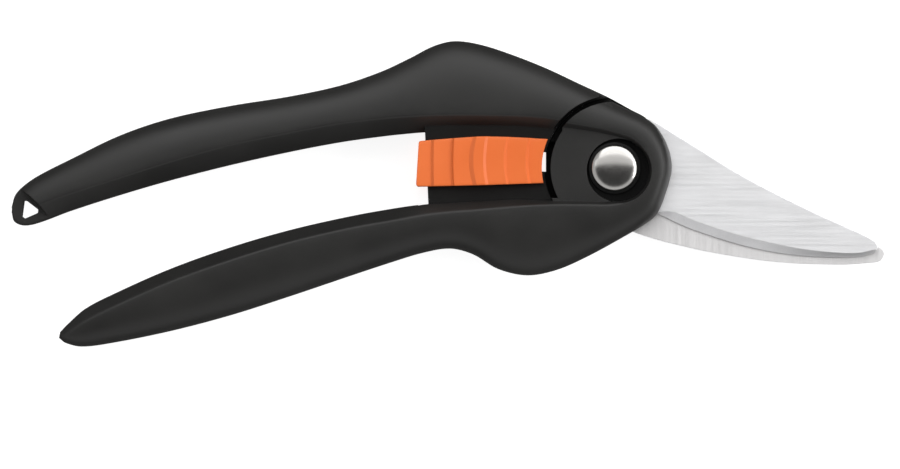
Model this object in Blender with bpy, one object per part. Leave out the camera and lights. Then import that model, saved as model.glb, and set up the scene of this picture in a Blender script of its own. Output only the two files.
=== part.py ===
"""Bypass pruner, closed and lying on its back.

+X runs from the pivot to the blade tips, +Y to the upper handle, +Z up through the
thickness. The origin is on the pivot's axis, on the surface that the tool lies on.
Sizes are in millimetres; MM turns them into Blender's metres when a mesh is made.
"""

import math

import bmesh
import bpy
from mathutils import Matrix, Vector

MM = 0.001

# Thickness, as heights above the surface that the tool lies on
THICKNESS = 16.0
MID = THICKNESS / 2
GAP = 0.3
HALF_GAP = GAP / 2
BLADE_THICKNESS = 2.0
FRONT_BLADE_TOP = MID + HALF_GAP + BLADE_THICKNESS
REAR_BLADE_BACK = MID - HALF_GAP - BLADE_THICKNESS
WEB_THICKNESS = 9.0
WEB_BACK = MID - WEB_THICKNESS / 2
WEB_FRONT = MID + WEB_THICKNESS / 2
CHANNEL_BACK = WEB_BACK - GAP
CHANNEL_FRONT = WEB_FRONT + GAP
ABOVE = THICKNESS + 1.0
BELOW = -1.0

# Hub, seen along the pivot: the lower handle's floor and raised rim, and the flange under
# the groove between them and the upper handle
HUB_RADIUS = 15.4
HUB_RIM_RADIUS = 15.9
HUB_FLANGE_RADIUS = 16.6
HUB_FLOOR = 14.0
GROOVE_FLOOR = 10.6
ARC_RADIUS = 16.9
ARC_FACE_RADIUS = 17.45
RECESS_CENTRE = (0.9, -0.6)
RECESS_RADII = (7.4, 8.1)
ARC_SEGMENTS = 72
BLADE_DISC_RADIUS = 12.9
REAR_SWEEP_DEG = 250.0
FAR = 34.0

# Pivot stack
SHANK_RADIUS = 3.0
HEAD_RADIUS = 5.6
HEAD_RIM = 0.5
HEAD_DOME = 1.5
WASHER_RADIUS = 6.2
WASHER_THICKNESS = 0.5
BUSHING_RADIUS = 4.2
BORE_RADIUS = BUSHING_RADIUS + GAP
COLLAR_HEIGHT = 2.4

# Opening spring
SPRING_WIRE = 0.3
SPRING_RADIUS = 5.35
SPRING_TURNS = 1.4
SPRING_PITCH = 0.68
SPRING_LEG_RADIUS = 6.5
SPRING_BEND = 0.4
SPRING_STEPS = 32
SPRING_REST_DEG = 150.0
SPRING_CAVITY_RADIUS = 7.3
SPRING_CAVITY_TOP = 12.15
LEG_HOLE_RADIUS = 0.7
LEG_SLOT_SPARE_DEG = 9.0
OPENING_DEG = 30.0

# Lock
WEB_LEFT = -45.8
WEB_BOTTOM = -12.0
SLOT = (-44.2, -16.4, -0.85, 3.85)
SLIT = (-38.0, -30.2)
SLIT_HALF = 1.1
LATCH_HALF = 0.8
POST_ROWS = ((-39.2, -36.7), (-26.0, -21.0))
POST_BOTTOM = -0.55
POST_TOP = 3.55
# The pad's treads, from its left end: where each starts and how high it is over the web's face
PAD_TREADS = ((-47.7, 1.5), (-44.0, 2.0), (-38.9, 2.6), (-34.0, 3.1), (-31.0, 2.7), (-26.0, 2.2),
              (-20.7, 1.6))
PAD_TOP = [(-47.7, 6.45), (-40.0, 7.05), (-32.0, 7.6), (-24.0, 7.4), (-15.5, 6.9)]
PAD_BOTTOM = [(-47.9, -4.5), (-32.0, -4.15), (-15.5, -3.6)]
PAD_RIGHT = -15.5
PAD_RISER = 0.25
PAD_END_RADIUS = 17.5
PAD_POCKET_FLOOR = 1.6
HOOK_GROOVE_X = (-39.5, -26.3)
HOOK_GROOVE_Y = (-16.9, -11.0)
CATCH_CENTRE = (-27.9, -13.9)
CATCH_RADIUS = 1.2
CATCH_LENGTH = 13.0
STRIP_SPAN = (-36.6, -26.9)
STRIP_ROW = (4.5, 6.1)
STRIP_THICKNESS = 0.4
STRIP_BOW = 0.4
STRIP_ROOM = 1.4

# A handle's section: how square its outer edge is along the grip and round the hub, and the
# shares of its width that are drawn
EDGE_POWER = 2.6
HUB_POWER = 3.2
FACE_STEPS = (0.004, 0.03, 0.09, 0.2, 0.4, 0.68)
RIB_STEPS = 2

# Ribs of a handle, from its tail to the end of its hub rim. Each has its outer point, its
# crease and its inner point in plan, then the half thickness at the crease and at the inner
# point. A handle's two halves share the ribs marked as whole.
LOWER_WHOLE_RIBS = [
    ((-133.7, -40.9), (-133.3, -40.3), (-133.4, -39.5), 3.0, 2.4),
    ((-132.2, -42.1), (-131.2, -39.2), (-131.6, -37.6), 4.4, 2.6),
    ((-128.3, -43.0), (-127.6, -36.9), (-127.4, -33.9), 5.6, 2.8),
    ((-121.4, -42.2), (-120.5, -33.4), (-120.5, -30.3), 6.6, 3.0),
    ((-107.0, -39.3), (-107.0, -27.4), (-107.0, -24.3), 7.6, 3.0),
    ((-92.5, -35.5), (-92.5, -22.2), (-92.5, -19.1), 8.0, 3.0),
    ((-78.1, -30.9), (-78.1, -17.8), (-78.1, -14.9), 8.0, 3.0),
    ((-63.6, -26.0), (-63.6, -14.4), (-63.6, -11.6), 8.0, 3.0),
    ((-53.0, -22.5), (-53.0, -12.5), (-53.0, -9.7), 8.0, 3.2),
    ((-46.0, -20.4), (-46.0, -11.3), (-46.0, -8.75), 8.0, 4.9),
    ((-39.5, -19.4), (-39.5, -10.5), (-39.5, -8.35), 8.0, 4.9),
    ((-34.0, -20.8), (-34.0, -10.1), (-34.0, -8.0), 8.0, 4.9),
    ((-28.0, -24.3), (-28.0, -9.55), (-28.0, -7.7), 8.0, 4.9),
    ((-21.0, -25.85), (-21.0, -9.0), (-21.0, -7.45), 8.0, 4.9),
    ((-14.0, -24.6), (-14.0, -8.7), (-14.0, -7.4), 8.0, 4.5),
    ((-7.0, -21.6), (-7.0, -8.7), (-7.0, -7.4), 8.0, 4.3),
]
LOWER_HUB_RIBS = [
    ((1.6, -16.95), (-0.5, -8.7), (-1.0, -7.3), 8.0, 4.2),
    ((8.4, -12.85), (3.6, -7.6), (3.0, -6.3), 8.0, 4.2),
    ((10.5, -10.7), (6.0, -6.0), (4.9, -4.9), 8.0, 4.2),
    ((12.5, -5.8), (7.8, -3.4), (6.5, -2.8), 8.0, 4.2),
    ((13.85, 0.0), (8.4, 0.0), (6.95, 0.0), 8.0, 4.2),
    ((12.9, 5.2), (7.6, 3.5), (6.2, 2.9), 8.0, 4.2),
    ((10.2, 9.9), (5.9, 5.9), (4.8, 4.8), 8.0, 4.2),
    ((7.1, 12.3), (3.4, 7.6), (2.6, 6.1), 8.0, 4.2),
    ((3.8, 13.95), (-1.0, 8.9), (-1.5, 7.2), 8.0, 4.2),
    ((-0.5, 15.95), (-7.0, 10.1), (-7.5, 8.1), 8.0, 4.2),
    ((-6.0, 18.8), (-15.0, 11.4), (-15.5, 9.0), 8.0, 4.2),
]
UPPER_WHOLE_RIBS = [
    ((-145.05, -9.2), (-144.9, -9.9), (-145.05, -10.7), 3.4, 2.2),
    ((-144.2, -6.4), (-143.7, -10.4), (-144.4, -12.9), 5.0, 2.2),
    ((-141.9, -4.0), (-141.4, -9.9), (-142.0, -13.85), 5.9, 2.3),
    ((-138.3, -1.6), (-138.2, -8.9), (-138.3, -13.1), 6.4, 2.4),
    ((-131.1, 2.05), (-131.1, -6.3), (-131.1, -10.4), 6.9, 2.4),
    ((-119.0, 7.9), (-119.0, -2.5), (-119.0, -6.5), 7.6, 2.4),
    ((-107.0, 11.95), (-107.0, 1.35), (-107.0, -3.0), 8.0, 2.4),
    ((-92.5, 15.0), (-92.5, 5.4), (-92.5, 0.7), 8.0, 2.4),
    ((-78.1, 17.3), (-78.1, 8.4), (-78.1, 3.9), 8.0, 2.4),
    ((-66.0, 19.9), (-66.0, 10.6), (-66.0, 6.2), 8.0, 2.4),
    ((-56.0, 23.3), (-56.0, 11.8), (-56.0, 7.6), 8.0, 2.4),
    ((-49.0, 26.6), (-49.0, 12.35), (-49.0, 8.35), 8.0, 2.4),
    ((-43.5, 29.4), (-43.5, 12.6), (-43.5, 8.75), 8.0, 2.4),
    ((-38.4, 30.6), (-38.4, 12.7), (-38.4, 8.9), 8.0, 2.4),
    ((-32.0, 29.7), (-32.0, 12.65), (-32.0, 8.9), 8.0, 2.4),
    ((-24.0, 27.1), (-24.0, 12.5), (-24.0, 8.8), 8.0, 2.4),
    ((-16.0, 23.9), (-16.0, 12.0), (-16.0, 8.4), 8.0, 3.0),
    ((-9.0, 20.6), (-9.0, 10.7), (-9.0, 7.6), 8.0, 4.2),
    ((-1.0, 16.85), (-2.4, 9.3), (-2.6, 7.3), 8.0, 4.2),
]
UPPER_HUB_RIBS = [
    ((3.8, 14.2), (1.6, 8.4), (1.2, 6.9), 8.0, 4.2),
    ((7.6, 12.15), (4.6, 6.9), (3.8, 5.6), 8.0, 4.2),
    ((10.7, 9.2), (6.7, 4.8), (5.5, 4.0), 8.0, 4.2),
    ((13.9, 4.5), (8.0, 2.4), (6.6, 2.0), 8.0, 4.2),
    ((14.6, -0.5), (8.4, -0.6), (6.95, -0.5), 8.0, 4.2),
    ((13.5, -5.6), (7.7, -3.8), (6.4, -3.1), 8.0, 4.2),
    ((10.4, -10.4), (5.8, -6.3), (4.9, -5.0), 8.0, 4.2),
    ((5.5, -14.1), (2.6, -8.2), (2.2, -6.6), 8.0, 4.2),
    ((-0.5, -15.3), (-2.0, -8.7), (-2.0, -7.3), 8.0, 4.2),
    ((-7.0, -13.6), (-7.5, -8.7), (-7.5, -7.3), 8.0, 4.2),
    ((-12.2, -9.3), (-12.5, -8.5), (-12.8, -7.3), 8.0, 4.2),
]

# Hanging loop at the upper handle's tail
LOOP_HALF = 3.0
HANG_HOLE = [(-142.1, -7.9), (-141.2, -8.0), (-138.6, -10.0), (-138.7, -10.8), (-141.9, -12.2),
             (-142.6, -11.7)]

# Blade outlines
FRONT_SPINE = [(8.6, 11.8), (18.3, 5.8), (31.7, -2.4), (47.2, -10.3), (60.0, -16.1), (62.5, -17.5)]
FRONT_TIP = [(63.3, -18.6), (63.2, -19.8)]
FRONT_EDGE = [(62.4, -20.6), (59.0, -21.3), (52.0, -21.45), (44.0, -20.95), (36.0, -19.75),
              (28.0, -17.75), (18.0, -14.4), (14.0, -12.6), (10.9, -11.1)]
FRONT_HEEL = [(10.3, -10.7)]
FRONT_TANG = [(4.5, -13.0), (-2.5, -16.6), (-12.0, -21.6), (-19.0, -22.7), (-24.0, -21.2),
              (-24.3, -18.0), (-19.0, -15.2), (-12.2, -13.7)]
REAR_EDGE = [(14.2, -4.0), (20.0, -8.8), (30.0, -13.9), (40.0, -16.8), (50.0, -18.3),
             (58.0, -18.9), (62.9, -18.9)]
REAR_TIP = [(64.6, -19.5), (65.1, -20.6), (64.6, -21.9)]
REAR_SPINE = [(63.0, -22.75), (54.9, -23.25), (39.5, -22.65), (24.0, -20.4), (12.5, -17.8),
              (5.5, -15.7), (2.2, -14.2), (-1.0, -12.9)]
REAR_TANG = [(-14.0, 6.7), (-24.0, 7.0), (-31.5, 9.0), (-34.0, 14.0), (-33.0, 20.0),
             (-27.0, 22.2), (-19.0, 20.2), (-10.0, 16.4), (-3.0, 13.2)]
BEVEL_WIDTH = 2.0
BEVEL_TIP_WIDTH = 0.85
BEVEL_TAPER_X = (36.0, 58.0)
BEVEL_HEEL_X = (10.6, 14.0)
EDGE_LAND = 0.25


# ---------------------------------------------------------------- curves in plan


def arc(radius, start_deg, end_deg, steps):
    """Points round the pivot, from one angle to the other."""
    points = []
    for i in range(steps + 1):
        angle = math.radians(start_deg + (end_deg - start_deg) * i / steps)
        points.append((radius * math.cos(angle), radius * math.sin(angle)))
    return points


def smooth(keys, per_span):
    """A smooth curve through rows of numbers, spaced by the first two numbers of each row."""
    rows = [Vector(key) for key in keys]
    at = [0.0]
    for a, b in zip(rows, rows[1:]):
        at.append(at[-1] + max((Vector(b[:2]) - Vector(a[:2])).length, 0.01))
    slopes = []
    for i in range(len(rows)):
        low, high = max(i - 1, 0), min(i + 1, len(rows) - 1)
        slopes.append((rows[high] - rows[low]) / (at[high] - at[low]))
    out = [rows[0]]
    for i in range(len(rows) - 1):
        span = at[i + 1] - at[i]
        for k in range(1, per_span + 1):
            t = k / per_span
            t2, t3 = t * t, t * t * t
            out.append(
                rows[i] * (2 * t3 - 3 * t2 + 1)
                + slopes[i] * span * (t3 - 2 * t2 + t)
                + rows[i + 1] * (3 * t2 - 2 * t3)
                + slopes[i + 1] * span * (t3 - t2)
            )
    return [tuple(row) for row in out]


def grown(outline, distance):
    """A closed outline moved outwards by a distance; inwards if it is negative."""
    area = sum(a[0] * b[1] - b[0] * a[1] for a, b in zip(outline, outline[1:] + outline[:1]))
    turn = 1 if area > 0 else -1
    out = []
    for i, point in enumerate(outline):
        before, after = Vector(outline[i - 1]), Vector(outline[(i + 1) % len(outline)])
        here = Vector(point)
        along_in, along_out = (here - before).normalized(), (after - here).normalized()
        normal = Vector((along_in.y + along_out.y, -along_in.x - along_out.x)).normalized() * turn
        lean = max(normal.dot(Vector((along_in.y, -along_in.x)) * turn), 0.5)
        out.append(tuple(here + normal * distance / lean))
    return out


# ---------------------------------------------------------------- solids


def mesh_object(name, vertices, faces):
    """An object from millimetre points, with its faces turned outwards."""
    mesh = bpy.data.meshes.new(name)
    mesh.from_pydata([tuple(c * MM for c in v) for v in vertices], [], faces)
    form = bmesh.new()
    form.from_mesh(mesh)
    bmesh.ops.recalc_face_normals(form, faces=form.faces)
    form.to_mesh(mesh)
    form.free()
    obj = bpy.data.objects.new(name, mesh)
    bpy.context.scene.collection.objects.link(obj)
    return obj


def between(name, rings):
    """A solid between closed rings of points, with the first and the last capped."""
    count = len(rings[0])
    vertices = [point for ring in rings for point in ring]
    faces = [tuple(range(count)), tuple(range(len(vertices) - count, len(vertices)))]
    for r in range(len(rings) - 1):
        for i in range(count):
            j = (i + 1) % count
            low, high = r * count, (r + 1) * count
            faces.append((low + i, low + j, high + j, high + i))
    return mesh_object(name, vertices, faces)


def prism(name, outline, low, high):
    return between(name, [[(x, y, low) for x, y in outline], [(x, y, high) for x, y in outline]])


def box(name, x_span, y_span, z_span):
    (x0, x1), (y0, y1) = x_span, y_span
    return prism(name, [(x0, y0), (x1, y0), (x1, y1), (x0, y1)], *z_span)


def disc(name, radius, low, high, segments=48, centre=(0.0, 0.0)):
    outline = [(x + centre[0], y + centre[1]) for x, y in arc(radius, 0, 360, segments)[:-1]]
    return prism(name, outline, low, high)


def ring(name, inner, outer, low, high, segments=40, chamfer=0.0):
    """A washer or sleeve round the pivot, with its outer corners chamfered."""
    corners = [(inner, low), (outer - chamfer, low), (outer, low + chamfer),
               (outer, high - chamfer), (outer - chamfer, high), (inner, high)]
    if not chamfer:
        corners = [(inner, low), (outer, low), (outer, high), (inner, high)]
    vertices, faces = [], []
    for i in range(segments):
        angle = 2 * math.pi * i / segments
        for radius, z in corners:
            vertices.append((radius * math.cos(angle), radius * math.sin(angle), z))
    count = len(corners)
    for i in range(segments):
        here, there = i * count, ((i + 1) % segments) * count
        for k in range(count):
            n = (k + 1) % count
            faces.append((here + k, here + n, there + n, there + k))
    return mesh_object(name, vertices, faces)


def combine(target, tool, operation):
    """Applies one Boolean to the target and removes the tool."""
    modifier = target.modifiers.new("shape", "BOOLEAN")
    modifier.operation = operation
    modifier.object = tool
    bpy.context.view_layer.update()
    graph = bpy.context.evaluated_depsgraph_get()
    made = bpy.data.meshes.new_from_object(target.evaluated_get(graph))
    target.modifiers.clear()
    old = target.data
    target.data = made
    made.name = target.name
    bpy.data.meshes.remove(old)
    bpy.data.objects.remove(tool)


def cut(target, *tools):
    for tool in tools:
        combine(target, tool, "DIFFERENCE")


def join(target, *tools):
    for tool in tools:
        combine(target, tool, "UNION")


# ---------------------------------------------------------------- handles


def rib_profile(rib, side, foot):
    """One half of a handle's section, from its outer edge at mid-thickness to its inner edge."""
    outer, crease, inner = Vector(rib[0:2]), Vector(rib[2:4]), Vector(rib[4:6])
    peak, low, power = min(rib[6], MID), rib[7], rib[8]
    points = [(outer.x, outer.y, MID + side * foot)]
    for share in FACE_STEPS:
        here = outer.lerp(crease, share)
        height = peak * (1 - (1 - share) ** power) ** (1 / power)
        points.append((here.x, here.y, MID + side * height))
    points.append((crease.x, crease.y, MID + side * peak))
    points.append((inner.x, inner.y, MID + side * low))
    points.append((inner.x, inner.y, MID + side * foot))
    return points


def flat_rows(ribs, power):
    return [tuple(outer) + tuple(crease) + tuple(inner) + (peak, low, power)
            for outer, crease, inner, peak, low in ribs]


def handle_body(name, whole_ribs, hub_ribs, hub_side):
    """The whole handle along its grip, and one half of it on round the hub."""
    rows = smooth(flat_rows(whole_ribs, EDGE_POWER) + flat_rows(hub_ribs, HUB_POWER), RIB_STEPS)
    whole = (len(whole_ribs) - 1) * RIB_STEPS + 1
    steps = len(rib_profile(rows[0], 1, 0.0))
    vertices, faces = [], []
    halves = {1: [], -1: []}
    for i, row in enumerate(rows):
        if i < whole:
            front, back = rib_profile(row, 1, 0.0), rib_profile(row, -1, 0.0)
            first = len(vertices)
            vertices += front + back[1:-1]
            halves[1].append(list(range(first, first + steps)))
            halves[-1].append([first] + list(range(first + steps, first + 2 * steps - 2))
                              + [first + steps - 1])
        else:
            first = len(vertices)
            vertices += rib_profile(row, hub_side, HALF_GAP)
            halves[hub_side].append(list(range(first, first + steps)))
    for side in halves:
        for a, b in zip(halves[side], halves[side][1:]):
            for k in range(steps - 1):
                faces.append((a[k], a[k + 1], b[k + 1], b[k]))
    hub = halves[hub_side]
    for a, b in zip(hub[whole - 1:], hub[whole:]):
        faces.append((a[0], a[-1], b[-1], b[0]))
    faces.append(tuple(halves[1][0]) + tuple(reversed(halves[-1][0][1:-1])))
    faces.append(tuple(hub[-1]))
    faces.append(tuple(halves[-hub_side][whole - 1]))
    return mesh_object(name, vertices, faces)


def lower_handle():
    body = handle_body("lower_handle", LOWER_WHOLE_RIBS, LOWER_HUB_RIBS, 1)
    floor = arc(ARC_RADIUS, 95, 212, 16) + [(-10.0, -12.6), (0.0, -12.6), (8.0, -8.6)]
    floor += arc(11.2, -40, 50, 10) + [(3.0, 12.0), (0.0, 13.4)]
    join(body, prism("hub_floor", floor, MID + HALF_GAP, HUB_FLOOR))
    beyond = [(-30.0, -7.25), (-30.0, FAR), (3.0, FAR)]
    flange = arc(HUB_FLANGE_RADIUS, 84, 208, 22) + beyond
    cut(body, prism("flange_edge", flange, MID, ABOVE))
    groove = arc(HUB_RIM_RADIUS, 84, 142, 12) + arc(HUB_RADIUS, 145, 208, 10) + beyond
    cut(body, prism("groove", groove, GROOVE_FLOOR, ABOVE))
    low, high = [[(x + RECESS_CENTRE[0], y + RECESS_CENTRE[1], z) for x, y in arc(r, 0, 360, 48)[:-1]]
                 for r, z in zip(RECESS_RADII, (WEB_FRONT, ABOVE))]
    cut(body, between("rivet_recess", [low, high]))
    channel = [(-47.2, -12.5)] + arc(HUB_RADIUS, 234.3, 156, 16) + [(-47.2, 6.26)]
    cut(body, prism("channel", channel, CHANNEL_BACK, CHANNEL_FRONT))
    edge = math.radians(REAR_SWEEP_DEG)
    sweep = [(0.0, 0.0), (FAR * math.cos(edge), FAR * math.sin(edge)), (FAR, -FAR), (FAR, FAR),
             (-5.0, FAR)]
    cut(body, disc("rear_clearance", ARC_RADIUS, BELOW, MID + HALF_GAP, ARC_SEGMENTS))
    cut(body, prism("rear_sweep", sweep, BELOW, MID + HALF_GAP))
    blade = grown(front_blade_outline(), GAP)
    cut(body, prism("blade_pocket", blade, MID - HALF_GAP, FRONT_BLADE_TOP + GAP))
    cut(body, disc("spring_cavity", SPRING_CAVITY_RADIUS, MID, SPRING_CAVITY_TOP))
    cut(body, disc("bore", BORE_RADIUS, MID, ABOVE, 32))
    slit = (MID - SLIT_HALF, MID + SLIT_HALF)
    cut(body, box("hook_groove", HOOK_GROOVE_X, HOOK_GROOVE_Y, slit))
    half = CATCH_LENGTH / 2 + GAP
    cut(body, disc("catch_hole", CATCH_RADIUS + GAP, MID - half, MID + half, 16, CATCH_CENTRE))
    return body


def upper_handle():
    body = handle_body("upper_handle", UPPER_WHOLE_RIBS, UPPER_HUB_RIBS, -1)
    web = [(WEB_LEFT, 13.5), (-44.6, WEB_BOTTOM), (-9.7, WEB_BOTTOM), (-2.0, -12.6)]
    web += arc(12.2, 285, 430, 18) + [(-2.0, 12.8), (-12.0, 13.5)]
    join(body, prism("web", web, WEB_BACK, WEB_FRONT))
    cut(body, disc("front_clearance", ARC_RADIUS, MID - HALF_GAP, ABOVE, ARC_SEGMENTS))
    cut(body, disc("face_clearance", ARC_FACE_RADIUS, CHANNEL_FRONT, ABOVE, ARC_SEGMENTS))
    blade = grown(rear_blade_outline(), GAP)
    cut(body, prism("blade_pocket", blade, REAR_BLADE_BACK - GAP, MID + HALF_GAP))
    x0, x1, y0, y1 = SLOT
    cut(body, box("slot", (x0, x1), (y0, y1), (BELOW, ABOVE)))
    cut(body, box("latch_slit", SLIT, (WEB_BOTTOM - 1, y0 + 1), (MID - SLIT_HALF, MID + SLIT_HALF)))
    cut(body, disc("bore", BORE_RADIUS, BELOW, ABOVE, 32))
    hang_loop(body)
    return body


def hang_loop(body):
    """Thins the tail on both faces beyond a slanted line, and pierces the three-cornered hole."""
    foot = [(-143.4, -4.6), (-135.6, -12.2), (-138.0, -20.0), (-150.0, -16.0), (-150.0, -2.0)]
    head = [(-142.6, -3.8), (-134.8, -11.4), (-138.0, -21.0), (-151.0, -16.0), (-151.0, -1.0)]
    for side in (1, -1):
        low = [(x, y, MID + side * LOOP_HALF) for x, y in foot]
        high = [(x, y, MID + side * (MID + 1)) for x, y in head]
        cut(body, between("loop_face", [low, high]))
    cut(body, prism("hang_hole", HANG_HOLE, BELOW, ABOVE))


# ---------------------------------------------------------------- blades


def front_blade_outline(share=0.0):
    return (smooth(FRONT_SPINE, 3) + FRONT_TIP + ground(smooth(FRONT_EDGE, 3), share) + FRONT_HEEL
            + smooth(FRONT_TANG, 2) + arc(BLADE_DISC_RADIUS, 226, 84, 20) + [(4.6, 12.7)])


def rear_blade_outline(share=0.0):
    return (ground(smooth(REAR_EDGE, 3), share) + REAR_TIP + smooth(REAR_SPINE, 3)
            + arc(BLADE_DISC_RADIUS, 262, 160, 16) + smooth(REAR_TANG, 2)
            + arc(BLADE_DISC_RADIUS, 100, -6, 16))


def bevel_width(x):
    """The width of the ground bevel, which starts at the heel and narrows towards the tip."""
    start, end = BEVEL_TAPER_X
    share = min(max((x - start) / (end - start), 0.0), 1.0)
    width = BEVEL_WIDTH + (BEVEL_TIP_WIDTH - BEVEL_WIDTH) * share
    heel, full = BEVEL_HEEL_X
    return width * math.sqrt(min(max((x - heel) / (full - heel), 0.0), 1.0))


def ground(edge, share):
    """An edge path moved a share of the bevel's width into the blade, to its right as it runs."""
    out = []
    for i, point in enumerate(edge):
        before, after = Vector(edge[max(i - 1, 0)]), Vector(edge[min(i + 1, len(edge) - 1)])
        along = (after - before).normalized()
        width = bevel_width(point[0]) * share
        out.append((point[0] + along.y * width, point[1] - along.x * width))
    return out


def blade_solid(name, outline_of, contact, side):
    """A blade whose flat face is at the contact height, ground on its other face."""
    rings = []
    for share, rise in ((0.0, 0.0), (0.0, EDGE_LAND), (1.0, BLADE_THICKNESS)):
        rings.append([(x, y, contact + side * rise) for x, y in outline_of(share)])
    return between(name, rings)


def spring_leg(angle_deg):
    angle = math.radians(angle_deg)
    return SPRING_LEG_RADIUS * math.cos(angle), SPRING_LEG_RADIUS * math.sin(angle)


def fixed_leg_deg():
    return SPRING_REST_DEG + 360 * SPRING_TURNS


def front_blade():
    blade = blade_solid("front_blade", front_blade_outline, MID + HALF_GAP, 1)
    cut(blade, disc("bore", BORE_RADIUS, BELOW, ABOVE, 32))
    inner, outer = SPRING_LEG_RADIUS - LEG_HOLE_RADIUS, SPRING_LEG_RADIUS + LEG_HOLE_RADIUS
    start = SPRING_REST_DEG + LEG_SLOT_SPARE_DEG
    end = SPRING_REST_DEG - OPENING_DEG - LEG_SLOT_SPARE_DEG
    leg_slot = arc(inner, start, end, 12) + arc(outer, end, start, 12)
    cut(blade, prism("leg_slot", leg_slot, BELOW, ABOVE))
    cut(blade, disc("leg_hole", LEG_HOLE_RADIUS, BELOW, ABOVE, 12, spring_leg(fixed_leg_deg())))
    return blade


def rear_blade():
    blade = blade_solid("rear_blade", rear_blade_outline, MID - HALF_GAP, -1)
    cut(blade, disc("bore", BORE_RADIUS, BELOW, ABOVE, 32))
    cut(blade, disc("leg_hole", LEG_HOLE_RADIUS, BELOW, ABOVE, 12, spring_leg(SPRING_REST_DEG)))
    return blade


# ---------------------------------------------------------------- pivot


def pivot_rivet():
    """A shank and a domed head, from the tool's back upwards."""
    base = WEB_FRONT + GAP + WASHER_THICKNESS + GAP
    levels = [(SHANK_RADIUS, 0.0), (SHANK_RADIUS, base), (HEAD_RADIUS, base)]
    for tilt_deg in range(0, 90, 15):
        tilt = math.radians(tilt_deg)
        levels.append((HEAD_RADIUS * math.cos(tilt), base + HEAD_RIM + HEAD_DOME * math.sin(tilt)))
    return between("pivot_rivet", [[(x, y, z) for x, y in arc(radius, 0, 360, 32)[:-1]]
                                   for radius, z in levels])


def pivot_pieces():
    front = WEB_FRONT + GAP
    back = WEB_BACK - GAP
    bore = SHANK_RADIUS + GAP
    return [
        pivot_rivet(),
        ring("front_washer", bore, WASHER_RADIUS, front, front + WASHER_THICKNESS),
        ring("rear_washer", bore, WASHER_RADIUS, back - WASHER_THICKNESS, back),
        ring("pivot_collar", bore, HEAD_RADIUS, 0.0, COLLAR_HEIGHT, chamfer=0.4),
        ring("pivot_bushing", bore, BUSHING_RADIUS, WEB_BACK, WEB_FRONT, 32),
    ]


def opening_spring():
    """A torsion spring: one leg goes down into the front blade, the other into the rear blade."""
    low = FRONT_BLADE_TOP + GAP + SPRING_WIRE
    start, turned = SPRING_REST_DEG, 360 * SPRING_TURNS
    path = []
    x, y = spring_leg(start)
    path += [(x, y, REAR_BLADE_BACK + SPRING_BEND), (x, y, low - SPRING_BEND)]
    for i in range(SPRING_STEPS + 1):
        angle = math.radians(start + turned * i / SPRING_STEPS)
        z = low + SPRING_PITCH * SPRING_TURNS * i / SPRING_STEPS
        path.append((SPRING_RADIUS * math.cos(angle), SPRING_RADIUS * math.sin(angle), z))
    x, y = spring_leg(fixed_leg_deg())
    path += [(x, y, path[-1][2] - SPRING_BEND), (x, y, MID + HALF_GAP + SPRING_BEND)]
    curve = bpy.data.curves.new("opening_spring", "CURVE")
    curve.dimensions = "3D"
    curve.bevel_depth = SPRING_WIRE * MM
    curve.bevel_resolution = 2
    curve.use_fill_caps = True
    spline = curve.splines.new("POLY")
    spline.points.add(len(path) - 1)
    for point, place in zip(spline.points, path):
        point.co = (*[c * MM for c in place], 1.0)
    obj = bpy.data.objects.new("opening_spring", curve)
    bpy.context.scene.collection.objects.link(obj)
    return obj


# ---------------------------------------------------------------- lock


def row_at(curve, x):
    """The y of a line of points at this x."""
    for (xa, ya), (xb, yb) in zip(curve, curve[1:]):
        if xa <= x <= xb:
            return ya + (yb - ya) * (x - xa) / (xb - xa)
    return curve[0][1] if x < curve[0][0] else curve[-1][1]


def pad(name, side):
    """One half of the slider: a stepped pad, hollowed to an arc at its hub end."""
    face = MID + side * (WEB_THICKNESS / 2 + GAP)
    rings = []
    for (x, height), (x_next, _) in zip(PAD_TREADS, PAD_TREADS[1:] + ((PAD_RIGHT, 0.0),)):
        ends = (x, x_next) if x == PAD_TREADS[0][0] else (x + PAD_RISER, x_next)
        for end in ends:
            top, bottom = row_at(PAD_TOP, end), row_at(PAD_BOTTOM, end)
            rings.append([(end, bottom, face), (end, top, face), (end, top, face + side * height),
                          (end, bottom, face + side * height)])
    body = between(name, rings)
    low, high = sorted((face - side, MID + side * (MID + 1)))
    cut(body, disc("hub_end", PAD_END_RADIUS, low, high, ARC_SEGMENTS))
    return body


def lock_slider_front():
    body = pad("lock_slider_front", 1)
    post_height = (PAD_POCKET_FLOOR + GAP, CHANNEL_FRONT + 0.5)
    for span in POST_ROWS:
        join(body, box("post", span, (POST_BOTTOM, POST_TOP), post_height))
    strip_room = (STRIP_SPAN[0] - GAP, STRIP_SPAN[1] + GAP)
    row_room = (STRIP_ROW[0] - GAP, STRIP_ROW[1] + GAP)
    cut(body, box("strip_recess", strip_room, row_room, (WEB_FRONT, WEB_FRONT + STRIP_ROOM)))
    return body


def lock_slider_rear():
    body = pad("lock_slider_rear", -1)
    rows = (POST_BOTTOM - GAP, POST_TOP + GAP)
    for x0, x1 in POST_ROWS:
        cut(body, box("post_pocket", (x0 - GAP, x1 + GAP), rows, (PAD_POCKET_FLOOR, WEB_BACK)))
    return body


def lock_latch():
    """A plate between the posts, with a leg through the web and a claw beside the catch pin."""
    outline = [(-36.4, POST_TOP), (-36.4, POST_BOTTOM), (-33.0, POST_BOTTOM), (-33.0, -16.4),
               (-28.9, -16.4), (-29.1, -15.4), (-30.6, -15.0), (-30.6, POST_BOTTOM),
               (-26.3, POST_BOTTOM), (-26.3, POST_TOP)]
    return prism("lock_latch", outline, MID - LATCH_HALF, MID + LATCH_HALF)


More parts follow.
